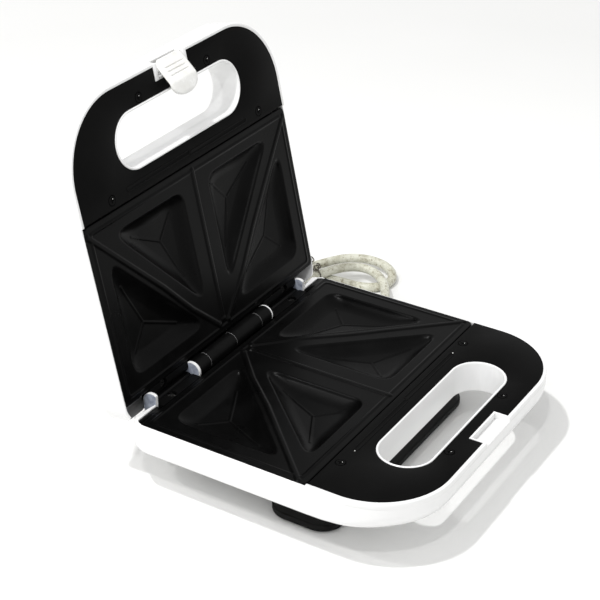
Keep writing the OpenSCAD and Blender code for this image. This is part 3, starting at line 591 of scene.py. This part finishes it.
def base_shell():
    belly_front, belly_r, belly_in = 131.2, 12, 3.4
    b = Build()
    bottom = shell_wall(b, BASE_REACH, BASE_REAR_R, edge=2.5, handle_edge=13, notched=False)
    b.fill([bottom, grip_tube(b)])
    slope = [(belly_in + 2 * k, UNDER + (BELLY - UNDER) * k / 7) for k in range(1, 7)]
    bulge(b, belly_front, BASE_REACH, belly_r, (-60, -30),
          [(belly_in, UNDER + 0.2), (belly_in, UNDER)] + slope + [(17.0, BELLY + 0.5), (18.6, BELLY)])
    latch_pocket(b)
    for s in (-1, 1):
        ear(b, s)
        rib(b, s)
        ear_shelf(b, s)
    cord_boss(b)
    ob = b.done("base_shell_skin", BASE, WHITE, "base", ("base_shell",), angle=38)
    # second material: painted shade on the end faces of the ears and ribs
    ob.data.materials.append(EAR_END_PAINTED_SHADE)


def latch_pocket(b):
    """Raised lip on three sides, with a floor that slopes up to the front."""
    lip = RIM + 0.25
    foot_z, z_in, z_out = -5, RIM - 4.4, RIM - 2.9
    front, edge_front, sill_front = -196.2, -196.4, -196.9
    out_x, out_y = LIP_X, LIP_Y
    in_x, in_y = POCKET_X, -186.8

    def side(x, y, y_front):
        """Round three sides, from the front on the left to the front on the right."""
        return [(-x, y_front), (-x, y), (x, y), (x, y_front)]

    low = b.ring(side(out_x, out_y, front), foot_z)
    outer = b.ring(side(out_x, out_y, front), lip - 0.2)
    outer_edge = b.ring(side(out_x - 0.2, out_y - 0.2, edge_front), lip)
    inner_edge = b.ring(side(in_x + 0.2, in_y + 0.3, edge_front), lip)
    inner = b.ring(side(in_x, in_y, front), lip - 0.2)
    ground = b.ring(side(in_x, in_y, front), lambda x, y: z_out if y == front else z_in)
    b.stack([low, outer, outer_edge, inner_edge, inner, ground], closed=False)
    b.cap(ground)
    # front ends of the lip
    for s in (-1, 1):
        b.cap(b.ring3([(s * out_x, front, foot_z), (s * out_x, front, lip - 0.2),
                       (s * (out_x - 0.2), edge_front, lip), (s * (in_x + 0.2), edge_front, lip),
                       (s * in_x, front, lip - 0.2), (s * in_x, front, z_out)]))
    b.cap(b.ring3([(-in_x, front, z_out), (in_x, front, z_out), (in_x, sill_front, z_out - 0.5),
                   (-in_x, sill_front, z_out - 0.5)]))


def half_round(b, s, x0, profile, foot_z, front=-math.inf):
    """Upright tongue with a round top about the hinge axis; its end faces use the second material, which
    paints bluish shade on the white.

    Its profile holds distances outwards from x0, and radii.
    """
    rings = []
    for out, r in profile:
        x = s * (x0 + out)
        top = [(x, max(y, front), z) for y, z in arc(0, 0, r, 205, -12, 39)]
        rings.append(b.ring3([(x, -min(r, 3.4), foot_z)] + top + [(x, min(r, 5.7), foot_z)]))
    b.stack(rings, closed=False)
    for ring in (rings[0], rings[-1]):
        b.cap(ring).material_index = 1


def ear(b, s):
    """Ear at the end of the hinge recess, cut off where the plate begins."""
    half_round(b, s, EAR_X, ((0, 5.95), (0.1, 6.25), (0.35, 6.4), (1.8, 6.4), (2.05, 6.3), (2.2, 6.0)),
               -9.0, -3.55)


def rib(b, s):
    """Rib beside the barrels; the left one is the thicker."""
    if s < 0:
        profile = ((0, 6.0), (0.2, 6.3), (0.45, 6.4), (1.75, 6.4), (2.0, 6.3), (2.2, 5.9))
    else:
        profile = ((0, 5.95), (0.15, 6.15), (0.75, 6.15), (0.95, 5.95))
    half_round(b, s, RIB_X, profile, -9.3)


def ear_shelf(b, s):
    """White rim along the plate and round its corner, with a slope down to the back behind it."""
    x0, low, top = EAR_X + 0.1, -9, -0.95
    # centres of the rounded corners of the shell and of the plate
    shell_x, shell_y = BODY_W / 2 - BASE_REAR_R, BASE_REACH - BASE_REAR_R
    plate_x, plate_y = 104.9, -7.4
    shell_r = BASE_REAR_R - 0.6

    def profile(inner, outer, width, top):
        """Distances and heights from the plate's side outwards."""
        edge = max(min(inner + width, outer - 0.5), inner + 0.4)
        return [(inner, low), (inner, top - 0.25), (inner + 0.2, top), (edge - 0.15, top), (edge, top - 0.15),
                (outer, top - 0.2 - 1.1 * (outer - edge)), (outer, -12)]

    rings = []
    for x in np.linspace(x0, plate_x, 14):
        outer = min(5.5, shell_y + math.sqrt(shell_r ** 2 - max(x - shell_x, 0) ** 2))
        width = 0.7 + 3.0 * min((x - x0) / 17, 1)
        rings.append(b.ring3([(s * x, y, z) for y, z in profile(-3.5, outer, width, top)]))
    dx, dy = plate_x - shell_x, plate_y - shell_y
    for k in range(1, 11):
        a = math.radians(90 - 8.5 * k)
        c = dx * math.cos(a) + dy * math.sin(a)
        reach = -c + math.sqrt(c * c - dx ** 2 - dy ** 2 + shell_r ** 2)
        rings.append(b.ring3([(s * (plate_x + q * math.cos(a)), plate_y + q * math.sin(a), z)
                              for q, z in profile(3.9, max(reach, 4.35), 3.7, top - 0.07 * k)]))
    b.stack(rings, closed=False)


def cord_boss(b):
    """Round boss where the lead comes out."""
    b.column([b.ring3([(x, y, z) for x, z in circle(EXIT_X, EXIT_H + FLOOR, r, 40)])
              for y, r in ((-11, 8.0), (5.2, 8.0), (5.8, 7.7), (6.0, 7.2))], bottom=False)


base_shell()


def lid_shell():
    crown_front, crown_r = 137.2, 14
    crown = ((9.0, UNDER + 0.1), (9.2, UNDER - 0.3), (12.5, UNDER - 1.6), (16, UNDER - 2.9),
             (19, UNDER - 3.7), (22, UNDER - 3.95), (26, UNDER - 4.0))
    b = Build()
    bottom = shell_wall(b, LID_REACH, LID_REAR_R, edge=4.6, handle_edge=4.6, notched=True)
    b.fill([bottom, grip_tube(b)])
    bulge(b, crown_front, LID_REACH, crown_r, (-60, -40), crown)
    b.done("lid_shell_skin", LID, WHITE, "lid", ("lid_shell",), angle=38)


lid_shell()


# ---------------------------------------------------------------- handle panels

PANEL_W, PANEL_FRONT, PANEL_REAR, PANEL_R = 215.3, 194.7, -126.85, 47.9
PANEL_GAP = 0.25    # to the grip tube and to the pocket's lip
SCREWS = ((79.5, -132.4), (-79.5, -132.4), (36.0, -182.0), (-36.0, -182.0))
SLOTS = ((-64.0, -0.4, -133.6), (1.2, 63.6, -132.3))    # x of both ends, and y


def panel(name, matrix, body, node):
    """Handle panel with grip hole, latch notch, screw wells and two slots with a raised lip."""
    b = Build()
    # the edge rounds over at the top face
    rounding = ((0, RIM - 2.2), (0, RIM - 0.3), (0.09, RIM - 0.09), (0.3, RIM))

    def edge(inset):
        """Outline with round front corners, small chamfers behind and the notch for the latch."""
        half_w, r = PANEL_W / 2 - inset, PANEL_R - inset
        front, rear = PANEL_FRONT - inset, PANEL_REAR - inset
        cut = 0.25
        pts = arc(half_w - r, -front + r, r, -90, 0, 32)
        pts += [(half_w, rear + cut), (half_w - cut, rear), (-half_w + cut, rear), (-half_w, rear + cut)]
        pts += arc(-half_w + r, -front + r, r, 180, 270, 32)
        notch_x, notch_y = LIP_X + PANEL_GAP + inset, LIP_Y + PANEL_GAP + inset
        return pts + [(-notch_x, -front), (-notch_x, notch_y), (notch_x, notch_y), (notch_x, -front)]

    def hole(grow):
        return stadium(0, GRIP_Y, GRIP_X, GRIP_R + PANEL_GAP + grow, 32)

    loops = [b.stack([b.ring(edge(inset), z) for inset, z in rounding])[-1],
             b.stack([b.ring(hole(grow), z) for grow, z in rounding])[-1]]
    for x, y in SCREWS:
        well = ((3.55, RIM), (3.4, RIM - 0.12), (3.3, RIM - 0.35), (3.25, RIM - 1.3))
        rings = [b.ring(circle(x, y, r, 28), z) for r, z in well]
        b.column(rings, bottom=False)
        loops.append(rings[0])
    for x0, x1, y in SLOTS:
        lip = ((1.9, RIM), (1.75, RIM + 0.2), (1.4, RIM + 0.28), (1.1, RIM + 0.12), (0.95, RIM - 0.12),
               (0.65, RIM - 0.22))
        rings = [b.ring(stadium((x0 + x1) / 2, y, (x1 - x0) / 2 - 0.95, r, 8), z) for r, z in lip]
        b.column(rings, bottom=False)
        loops.append(rings[0])
    b.fill(loops)
    b.done(name, matrix, PANEL, body, (node,), angle=35)


panel("base_panel_skin", BASE, "base", "base_handle_panel")
panel("lid_panel_skin", LID, "lid", "lid_handle_panel")


def glints(name, matrix, body, marks):
    """Small light marks: painted glints in the screw crosses and at the slot ends."""
    b = Build()
    for x, y, r in marks:
        b.column([b.ring(circle(x, y, r * k, 12), z)
                  for k, z in ((1, RIM - 0.1), (0.8, RIM + 0.1), (0.4, RIM + 0.18))], bottom=False)
    b.done(name, matrix, LATCH_AND_GLINT_TONE, body)


# painted glints: light dots beside the screw crosses, and on the base at the slot ends
CROSS_GLINTS = [(x + 0.7, y - 0.9, 0.3) for x, y in SCREWS]
glints("base_painted_glints", BASE, "base", [(-64.9, -133.6, 0.5), (64.9, -132.3, 0.5)] + CROSS_GLINTS)
glints("lid_painted_glints", LID, "lid", CROSS_GLINTS)


# ---------------------------------------------------------------- plates

# x and u of the right half, where u is the distance from the hinge axis towards the handle
REAR = ((22.0, 22.5), (93.0, 22.5), (93.0, 97.0))
REAR_TOP = (69.1, 46.2)
FRONT = ((15.0, 38.0), (82.0, 111.5), (15.0, 111.5))
FRONT_TOP = (37.0, 87.4)
RIDGES = (((5, 14), (28.7, 36.7)), ((28.7, 36.7), (50.9, 62.4)), ((50.9, 62.4), (106.5, 119.6)),
          ((0, 17), (0, 121)))


def inside_depth(x, u, tri):
    """Distances inside the three edges of a triangle; negative outside."""
    (ax, au), (bx, bu), (cx, cu) = tri
    turn = (bx - ax) * (cu - au) - (bu - au) * (cx - ax)
    order = tri if turn > 0 else tri[::-1]
    depths = []
    for i in range(3):
        ax, au = order[i]
        bx, bu = order[(i + 1) % 3]
        depths.append(((bx - ax) * (u - au) - (bu - au) * (x - ax)) / math.hypot(bx - ax, bu - au))
    return depths


def smooth_min(values, k):
    """Smallest of the values, blended over k where two are close."""
    m = values[0]
    for v in values[1:]:
        h = np.clip(0.5 + 0.5 * (v - m) / k, 0, 1)
        m = v * (1 - h) + m * h - k * h * (1 - h)
    return m


def seg_dist(x, u, p, q):
    """Distance from the line between p and q."""
    dx, du = q[0] - p[0], q[1] - p[1]
    t = np.clip(((x - p[0]) * dx + (u - p[1]) * du) / (dx * dx + du * du), 0, 1)
    return np.hypot(x - p[0] - t * dx, u - p[1] - t * du)


def bead(d, half, height):
    """Round bead at distance d from its middle line."""
    return height * np.clip(1 - (d / half) ** 2, 0, 1) ** 0.8


def bowl(x, u, tri, top):
    """Where the bowl of a triangle is, and its height: a round wall, a three-sided floor and its creases."""
    depth, wall_w, lip_w, floor_drop = 5.3, 11.0, 1.6, 1.7
    edges = inside_depth(x, u, tri)
    d = smooth_min(edges, 10.0) + lip_w
    t = np.clip(d / wall_w, 0, 1)
    wall = -depth * (1 - (1 - t) ** 2.5) * np.clip(d / lip_w, 0, 1)
    at_top = inside_depth(top[0], top[1], tri)
    rel = smooth_min([v / k for v, k in zip(edges, at_top)], 0.08)
    floor = -floor_drop * np.clip(rel, 0, 1) * np.clip(t * 1.3 - 0.2, 0, 1)
    middle = (sum(p[0] for p in tri) / 3, sum(p[1] for p in tri) / 3)
    crease = np.zeros_like(x)
    for p in tri:
        crease = np.maximum(crease, bead(seg_dist(x, u, mixed(middle, p, 0.60), top), 0.85, 0.42))
    return d > 0, wall + floor + crease


def plate_height(x, u):
    """Height over the flange: border bead, bars between the pockets, knobs at the hinge and four bowls."""
    bead_in, bead_in_back, bead_half, bead_h = 4.6, 3.6, 1.1, 0.7
    bar_half, bar_h, knob_r, knob_h = 1.95, 0.72, 2.4, 1.15
    field, slope = 0.25, 0.8    # height inside the bead, and width of the step up to it
    x = np.abs(x)
    inside = smooth_min([PLATE_X - x - bead_in, PLATE_FRONT - u - bead_in,
                         u - PLATE_BACK - bead_in_back], 3.0)
    z = bead(np.abs(inside), bead_half, bead_h) + field * np.clip(inside / slope, 0, 1)
    for p, q in RIDGES:
        z = np.maximum(z, field + bar_h * np.clip((bar_half - seg_dist(x, u, p, q)) / slope, 0, 1))
    for knob_x, knob_u in ((5.0, 14.0), (0.0, 16.5)):
        z = np.maximum(z, field + bead(np.hypot(x - knob_x, u - knob_u), knob_r, knob_h))
    for tri, top in ((REAR, REAR_TOP), (FRONT, FRONT_TOP)):
        in_bowl, height = bowl(x, u, tri, top)
        z = np.where(in_bowl, z + height, z)
    return z


def rounded_corner(x, u, side, corner_u, way, r):
    """Pulls the points of one corner of the grid in, onto a corner of radius r."""
    cx, cu = side * (PLATE_X - r), corner_u - way * r
    dx, du = x - cx, u - cu
    d = np.hypot(dx, du)
    k = np.where(d > 1e-6, np.maximum(np.abs(dx), np.abs(du)) / np.maximum(d, 1e-6), 1)
    here = (dx * side > 0) & (du * way > 0)
    return np.where(here, cx + dx * k, x), np.where(here, cu + du * k, u)


def skirt(b, border, out, drop):
    """Ring of the plate's side, moved out from its border."""
    middle = (PLATE_BACK + PLATE_FRONT) / 2
    pts = []
    for v in border:
        x, y, _ = v.co
        n = Vector(((x / PLATE_X) ** 9, ((y + middle) / ((PLATE_FRONT - PLATE_BACK) / 2)) ** 9, 0))
        n = n.normalized() if n.length > 0 else Vector((1, 0, 0))
        pts.append((x + n.x * out, y + n.y * out, PLATE - drop))
    return b.ring3(pts)


def plate(name, matrix, body, node, lugs):
    """Cast plate; with lugs its rear corners stay square, and a screw lug stands behind each."""
    step, corner_r = 0.5, 4.0
    plate_w, plate_d = 2 * PLATE_X, PLATE_FRONT - PLATE_BACK
    x, u = np.meshgrid(np.linspace(-PLATE_X, PLATE_X, int(plate_w / step) + 1),
                       np.linspace(PLATE_BACK, PLATE_FRONT, int(plate_d / step) + 1))
    z = plate_height(x, u)
    for side in (-1, 1):
        x, u = rounded_corner(x, u, side, PLATE_FRONT, 1, corner_r)
        if not lugs:
            x, u = rounded_corner(x, u, side, PLATE_BACK, -1, corner_r)
    b = Build()
    grid = b.sheet([list(zip(*row)) for row in zip(x, -u, PLATE + z)])
    border = (grid[0] + [row[-1] for row in grid[1:]] + grid[-1][-2::-1]
              + [row[0] for row in grid[-2:0:-1]])
    b.stack([border] + [skirt(b, border, out, drop) for out, drop in ((0.28, 0.1), (0.4, 0.45), (0.4, 3.0))])
    if lugs:
        for s in (-1, 1):
            lug(b, s)
    b.done(name, matrix, COATING, body, (node,), angle=60)


def lug(b, s):
    """Screw lug with its top face a little smaller than its foot."""
    pts = [(s * x, y) for x, y in ((87.3, -8.6), (87.3, -4.0), (87.7, -3.6), (105.6, -3.6), (107.4, -4.4),
                                   (108.6, -6.0), (109.0, -8.6))]
    mx, my = sum(p[0] for p in pts) / len(pts), -7.0
    top = [(mx + (x - mx) * 0.97, my + (y - my) * 0.93) for x, y in pts]
    b.column([b.ring(pts, PLATE - 3), b.ring(pts, PLATE - 0.35), b.ring(top, PLATE - 0.02)], bottom=False)


plate("lower_plate_skin", BASE, "base", "lower_plate", True)
plate("upper_plate_skin", LID, "lid", "upper_plate", False)


# ---------------------------------------------------------------- hinge line

def hinge_line():
    """Bright edges at the joints of the barrels: painted highlights, as light grey rings between the black
    barrels.
    """
    barrel_ends = (-42.1, -30, 0, 30, 42.0)
    profile = ((-0.11, 5.6), (-0.11, 5.98), (0, 6.05), (0.11, 5.98), (0.11, 5.6))
    b = Build()
    for x in barrel_ends:
        rings = [b.ring3([(x + dx, y, z) for y, z in circle(0, 0, r, 64)]) for dx, r in profile]
        b.stack(rings + [rings[0]])
    b.done("barrel_joint_painted_highlights", BASE, SEAM_PAINTED_HIGHLIGHT, "base", angle=30)


hinge_line()


def pan_screw(b, cx, cy, top, low):
    """Pan head with a cross recess, on a plain shank."""
    head_r, shank_r = 2.9, 1.5
    cross_half, cross_r, cross_depth = 0.42, 1.9, 0.8

    def height(x, y):
        x, y = x - cx, y - cy
        q = math.hypot(x, y)
        z = top - 0.35 * (q / head_r) ** 2 - 0.5 * max(0, (q - 2.5) / 0.4) ** 2
        off = min(abs(x * 0.8 + y * 0.6), abs(y * 0.8 - x * 0.6))
        return z - cross_depth if off < cross_half and q < cross_r else z

    rings = [b.ring(circle(cx, cy, q, 48), height)
             for q in (0.12, 0.35, 0.6, 0.9, 1.2, 1.5, 1.8, 2.1, 2.4, 2.65, 2.8, head_r)]
    rings += [b.ring(circle(cx, cy, q, 48), z)
              for q, z in ((head_r, top - 1.4), (shank_r, top - 1.5), (shank_r, low))]
    b.column(rings)


def hinge_screws(name, matrix, body, node, y):
    screw_x, head_top, end = 71, -2.9, -15
    b = Build()
    for x in (-screw_x, screw_x):
        pan_screw(b, x, y, head_top, end)
    b.done(name, matrix, SCREW, body, (node,), angle=40)


hinge_screws("base_hinge_screw_heads", BASE, "base", "base_hinge_screws", -3.4)
hinge_screws("lid_hinge_screw_heads", LID, "lid", "lid_hinge_screws", -4.9)


def lid_corners():
    """Black blocks that fill the lid's corners beside the hinge, so that these corners look dark."""
    floor_box = (83.0, 107.6, -9.5, 0.5, -13.4, -13.0)
    wall_box = (83.2, 90.4, -9.4, -7.3, -12.9, -3.4)
    b = Build()
    for s in (-1, 1):
        for x0, x1, y0, y1, low, top in (floor_box, wall_box):
            corners = [(s * x0, y0), (s * x1, y0), (s * x1, y1), (s * x0, y1)]
            b.column([b.ring(corners, low), b.ring(corners, top)], bottom=False)
    b.done("lid_corner_dark_blocks", LID, BLACK, "lid", angle=30)


lid_corners()


# ---------------------------------------------------------------- latch

TAB_HALF = 13.3    # half width of the tab


def towards(degrees):
    return Vector((math.cos(math.radians(degrees)), math.sin(math.radians(degrees))))


def tab_point(t):
    """Middle line of the tab as y and z: over the front wall, up the grip, flatter past the fold."""
    grip_t, fold_t = 4.2, 17.0
    grip_angle, end_angle = 35, 9
    grip = Vector((-193.0, -0.2))
    if t < grip_t:
        k = t / grip_t
        return Vector((-196.9 + 3.9 * k, -2.6 + 1.5 * k + 0.9 * k * k))
    if t < fold_t:
        return grip + (t - grip_t) * towards(grip_angle)
    return grip + (fold_t - grip_t) * towards(grip_angle) + (t - fold_t) * towards(end_angle)


def tab_half(t):
    """Half width along the tab."""
    round_t, end_t = 4.0, 17.5
    if t < round_t:
        return TAB_HALF - 4.0 * (1 - t / round_t) ** 2.2
    if t < end_t:
        return TAB_HALF
    return 0.1 + (TAB_HALF - 0.1) * math.sqrt(1 - min((t - end_t) / 9.3, 0.999) ** 2.3)


def tab_thick(t):
    """Half thickness along the tab, thinner towards both ends."""
    thick = 1.5 if t > 0.8 else 0.6 + 0.9 * math.sin(math.pi / 2 * t / 0.8)
    return thick * math.sqrt(max(1 - ((t - 24) / 2.9) ** 2, 0.1)) if t > 24 else thick


def latch():
    """Folded latch: one rounded tab, with three grip lines, a low fold and a half-round end."""
    steps = ([0, 0.3, 0.7, 1.2, 2, 3, 4, 4.6] + [4.6 + 0.2 * i for i in range(1, 62)]
             + [17.2, 17.8, 18.6, 19.6, 20.6, 21.6, 22.6, 23.6, 24.4, 25.1, 25.7, 26.2, 26.5, 26.7])
    one_side = [0.62, 0.7, 0.86, 0.94, 0.975, 0.995, 1]
    across = [-u for u in reversed(one_side)] + [0] + one_side
    b = Build()
    upper, lower = [], []
    for t in steps:
        middle, along = tab_point(t), (tab_point(t + 0.1) - tab_point(t - 0.1)).normalized()
        n = Vector((-along.y, along.x))
        groove = sum(0.75 * math.exp(-((t - line) / 0.3) ** 2) for line in (6.9, 9.9, 12.9))
        up, down = [], []
        for u in across:
            lift = tab_thick(t) * (1 - 0.85 * max((abs(u) - 0.86) / 0.14, 0) ** 2.5)
            high, low = middle + n * (lift - (groove if abs(u) < 0.65 else 0)), middle - n * lift
            up.append((tab_half(t) * u, *high))
            down.append((tab_half(t) * u, *low))
        upper.append(b.ring3(up))
        lower.append(b.ring3(down))
    b.stack(upper, closed=False)
    b.stack(lower, closed=False)
    # both sides, then both ends
    for end in (0, -1):
        b.bridge([row[end] for row in upper], [row[end] for row in lower], closed=False)
    for end in (0, -1):
        b.bridge(upper[end], lower[end], closed=False)
    # barrel on the pin
    inner_x = TAB_HALF - 0.2
    b.column([b.ring3([(x, y, z) for y, z in circle(LATCH_Y, LATCH_Z, r, 24)])
              for x, r in ((-TAB_HALF, 2.0), (-inner_x, 2.3), (inner_x, 2.3), (TAB_HALF, 2.0))])
    b.done("latch_skin", LID, LATCH_AND_GLINT_TONE, "latch", ("latch",), angle=38)


latch()


def latch_bearings():
    """White bearings at both ends of the latch pin."""
    corners = [(-196.5, -6.4), (-196.5, -0.6), (-195.9, -0.3), (-186.3, -0.3), (-185.6, -0.7), (-185.6, -6.4)]
    middle = (LATCH_Y, -3.2)
    b = Build()
    for s in (-1, 1):
        b.column([b.ring3([(s * x, *mixed(middle, p, k)) for p in corners])
                  for x, k in ((13.6, 0.97), (13.8, 1.0), (16.8, 1.0), (17.0, 0.97))])
    b.done("latch_bearings", LID, WHITE, "lid", angle=30)


latch_bearings()


def latch_well():
    """White floor under the latch, lower at the front."""
    half_w, front, rear = 17.3, -194.6, -185.3
    corners = [(-half_w, front), (half_w, front), (half_w, rear), (-half_w, rear)]
    b = Build()
    top = b.ring(corners, lambda x, y: RIM - 6.9 if y == front else RIM - 1.0)
    b.column([top, b.ring(corners, RIM - 7.6)], bottom=False)
    b.done("latch_well", LID, WHITE, "lid", angle=30)


latch_well()


# ---------------------------------------------------------------- feet

def front_foot():
    """Black foot bar: an upright lower rim and sides that slope in to the belly."""
    w, front, rear, r = 181, 133, -84, 15
    under = FLOOR + 1.2
    profile = ((3.0, under), (0.9, under), (0.3, under + 0.2), (0.05, under + 0.7), (0, under + 1.3),
               (0, under + 3.7), (0.12, under + 4.1), (0.5, under + 4.4), (1.1, under + 4.6),
               (8.6, BELLY - 0.4), (8.8, BELLY - 0.1))
    b = Build()
    b.column([b.ring(outline(w, front, rear, r, r, inset, n=12), z) for inset, z in profile])
    b.done("front_foot_skin", BASE, FOOT, "base", ("front_foot",), angle=34)


front_foot()


def pads():
    """Soft pads under the foot bar and the rear foot, following their outline."""
    front_plan, rear_plan = (177, 131.2, -85.8, 13.5), (127, 32.2, -7.8, 9)
    profile = ((0.5, FLOOR + 1.3), (0, FLOOR + 0.9), (0, FLOOR + 0.3), (0.3, FLOOR))
    b = Build()
    for w, front, rear, r in (front_plan, rear_plan):
        b.column([b.ring(outline(w, front, rear, r, r, inset, n=10), z) for inset, z in profile])
    b.done("pads", BASE, PAD, "base", ("foot_pads",), angle=34)


pads()


# ---------------------------------------------------------------- materials of the carried-over CAD nodes

KEPT = (
    (PANEL, ("base_panel_screws", "lid_panel_screws")),
    (SCREW, ("lower_plate_screws", "upper_plate_screws", "foot_screws")),
    (HEATER, ("lower_heater", "upper_heater")),
    (TRAY, ("lower_heater_clamps", "upper_heater_clamps", "lower_heat_tray", "upper_heat_tray",
            "thermal_fuse")),
    (PHENOLIC, ("tray_posts", "lid_tray_posts")),
    (CERAMIC, ("thermostat", "terminal_block")),
    (BLACK, ("rear_foot", "base_hinge_bracket", "lid_hinge_bracket", "cord_clamp")),
    (PIN, ("hinge_pin", "latch_pin")),
    (LEAD, ("inner_lead", "strain_relief")),
    (BRASS, ("plug_pins",)),
    (LAMP, ("neon_lamps",)),
    (LENS, ("lamp_lenses",)),
)
for material, names in KEPT:
    for node_name in names:
        kept = frame["nodes"][node_name].data.materials
        kept.clear()
        kept.append(material)


# ---------------------------------------------------------------- floor, backdrop and light

def floor_material():
    m, tree, p = new_material("floor_sheet")
    tone = ramp(tree, noise(tree, 3, 3), [(0.3, (0.81, 0.81, 0.80)), (0.7, (0.83, 0.83, 0.82))])
    tree.links.new(tone, p.inputs["Base Color"])
    p.inputs["Roughness"].default_value = 0.55
    p.inputs["Specular IOR Level"].default_value = 0.25
    # farther out the sheet is lit like the surround
    coords = tree.nodes.new("ShaderNodeTexCoord")
    away = tree.nodes.new("ShaderNodeVectorMath")
    away.operation = "LENGTH"
    tree.links.new(coords.outputs["Object"], away.inputs[0])
    p.inputs["Emission Color"].default_value = (1, 1, 1, 1)
    tree.links.new(to_range(tree, away.outputs["Value"], 0.0, 0.34, 0.8, 2.4), p.inputs["Emission Strength"])
    return m


def floor():
    """Sheet in metres."""
    places = np.linspace(-9, 9, 76)
    b = Build()
    b.sheet([[(x, y, 0) for x in places] for y in places])
    b.put("floor", floor_material())


floor()


def area(name, location, target, size, power):
    """Square light, placed in metres."""
    data = bpy.data.lights.new(name, "AREA")
    data.shape = "RECTANGLE"
    data.size = size
    data.size_y = size
    data.energy = power
    ob = bpy.data.objects.new(name, data)
    ob.location = location
    ob.rotation_euler = (Vector(target) - Vector(location)).to_track_quat("-Z", "Y").to_euler()
    bpy.context.collection.objects.link(ob)


KEY_TARGET = (0, -0.05, 0.03)
KEY_SIZE = 0.07
area("key_one", (-0.578, 0.25, 1.7), KEY_TARGET, KEY_SIZE, 15)
area("key_two", (-0.93, -0.38, 1.6), KEY_TARGET, KEY_SIZE, 5)
area("key_three", (-0.99, 0.87, 1.5), KEY_TARGET, KEY_SIZE, 6)
area("left_soft", (-1.5, -0.2, 1.3), (0, 0, 0.05), 0.8, 3)


def surround():
    """White surround, which lights the scene a little less brightly than the camera sees it."""
    world = bpy.data.worlds.new("surround")
    bpy.context.scene.world = world
    world.use_nodes = True
    tree = world.node_tree
    background = tree.nodes["Background"]
    background.inputs["Color"].default_value = (1, 1, 1, 1)
    path = tree.nodes.new("ShaderNodeLightPath")
    level = tree.nodes.new("ShaderNodeMapRange")
    level.inputs["To Min"].default_value = 0.78
    level.inputs["To Max"].default_value = 1.0
    tree.links.new(path.outputs["Is Camera Ray"], level.inputs["Value"])
    tree.links.new(level.outputs["Result"], background.inputs["Strength"])


surround()

bpy.context.scene.view_settings.view_transform = "Standard"
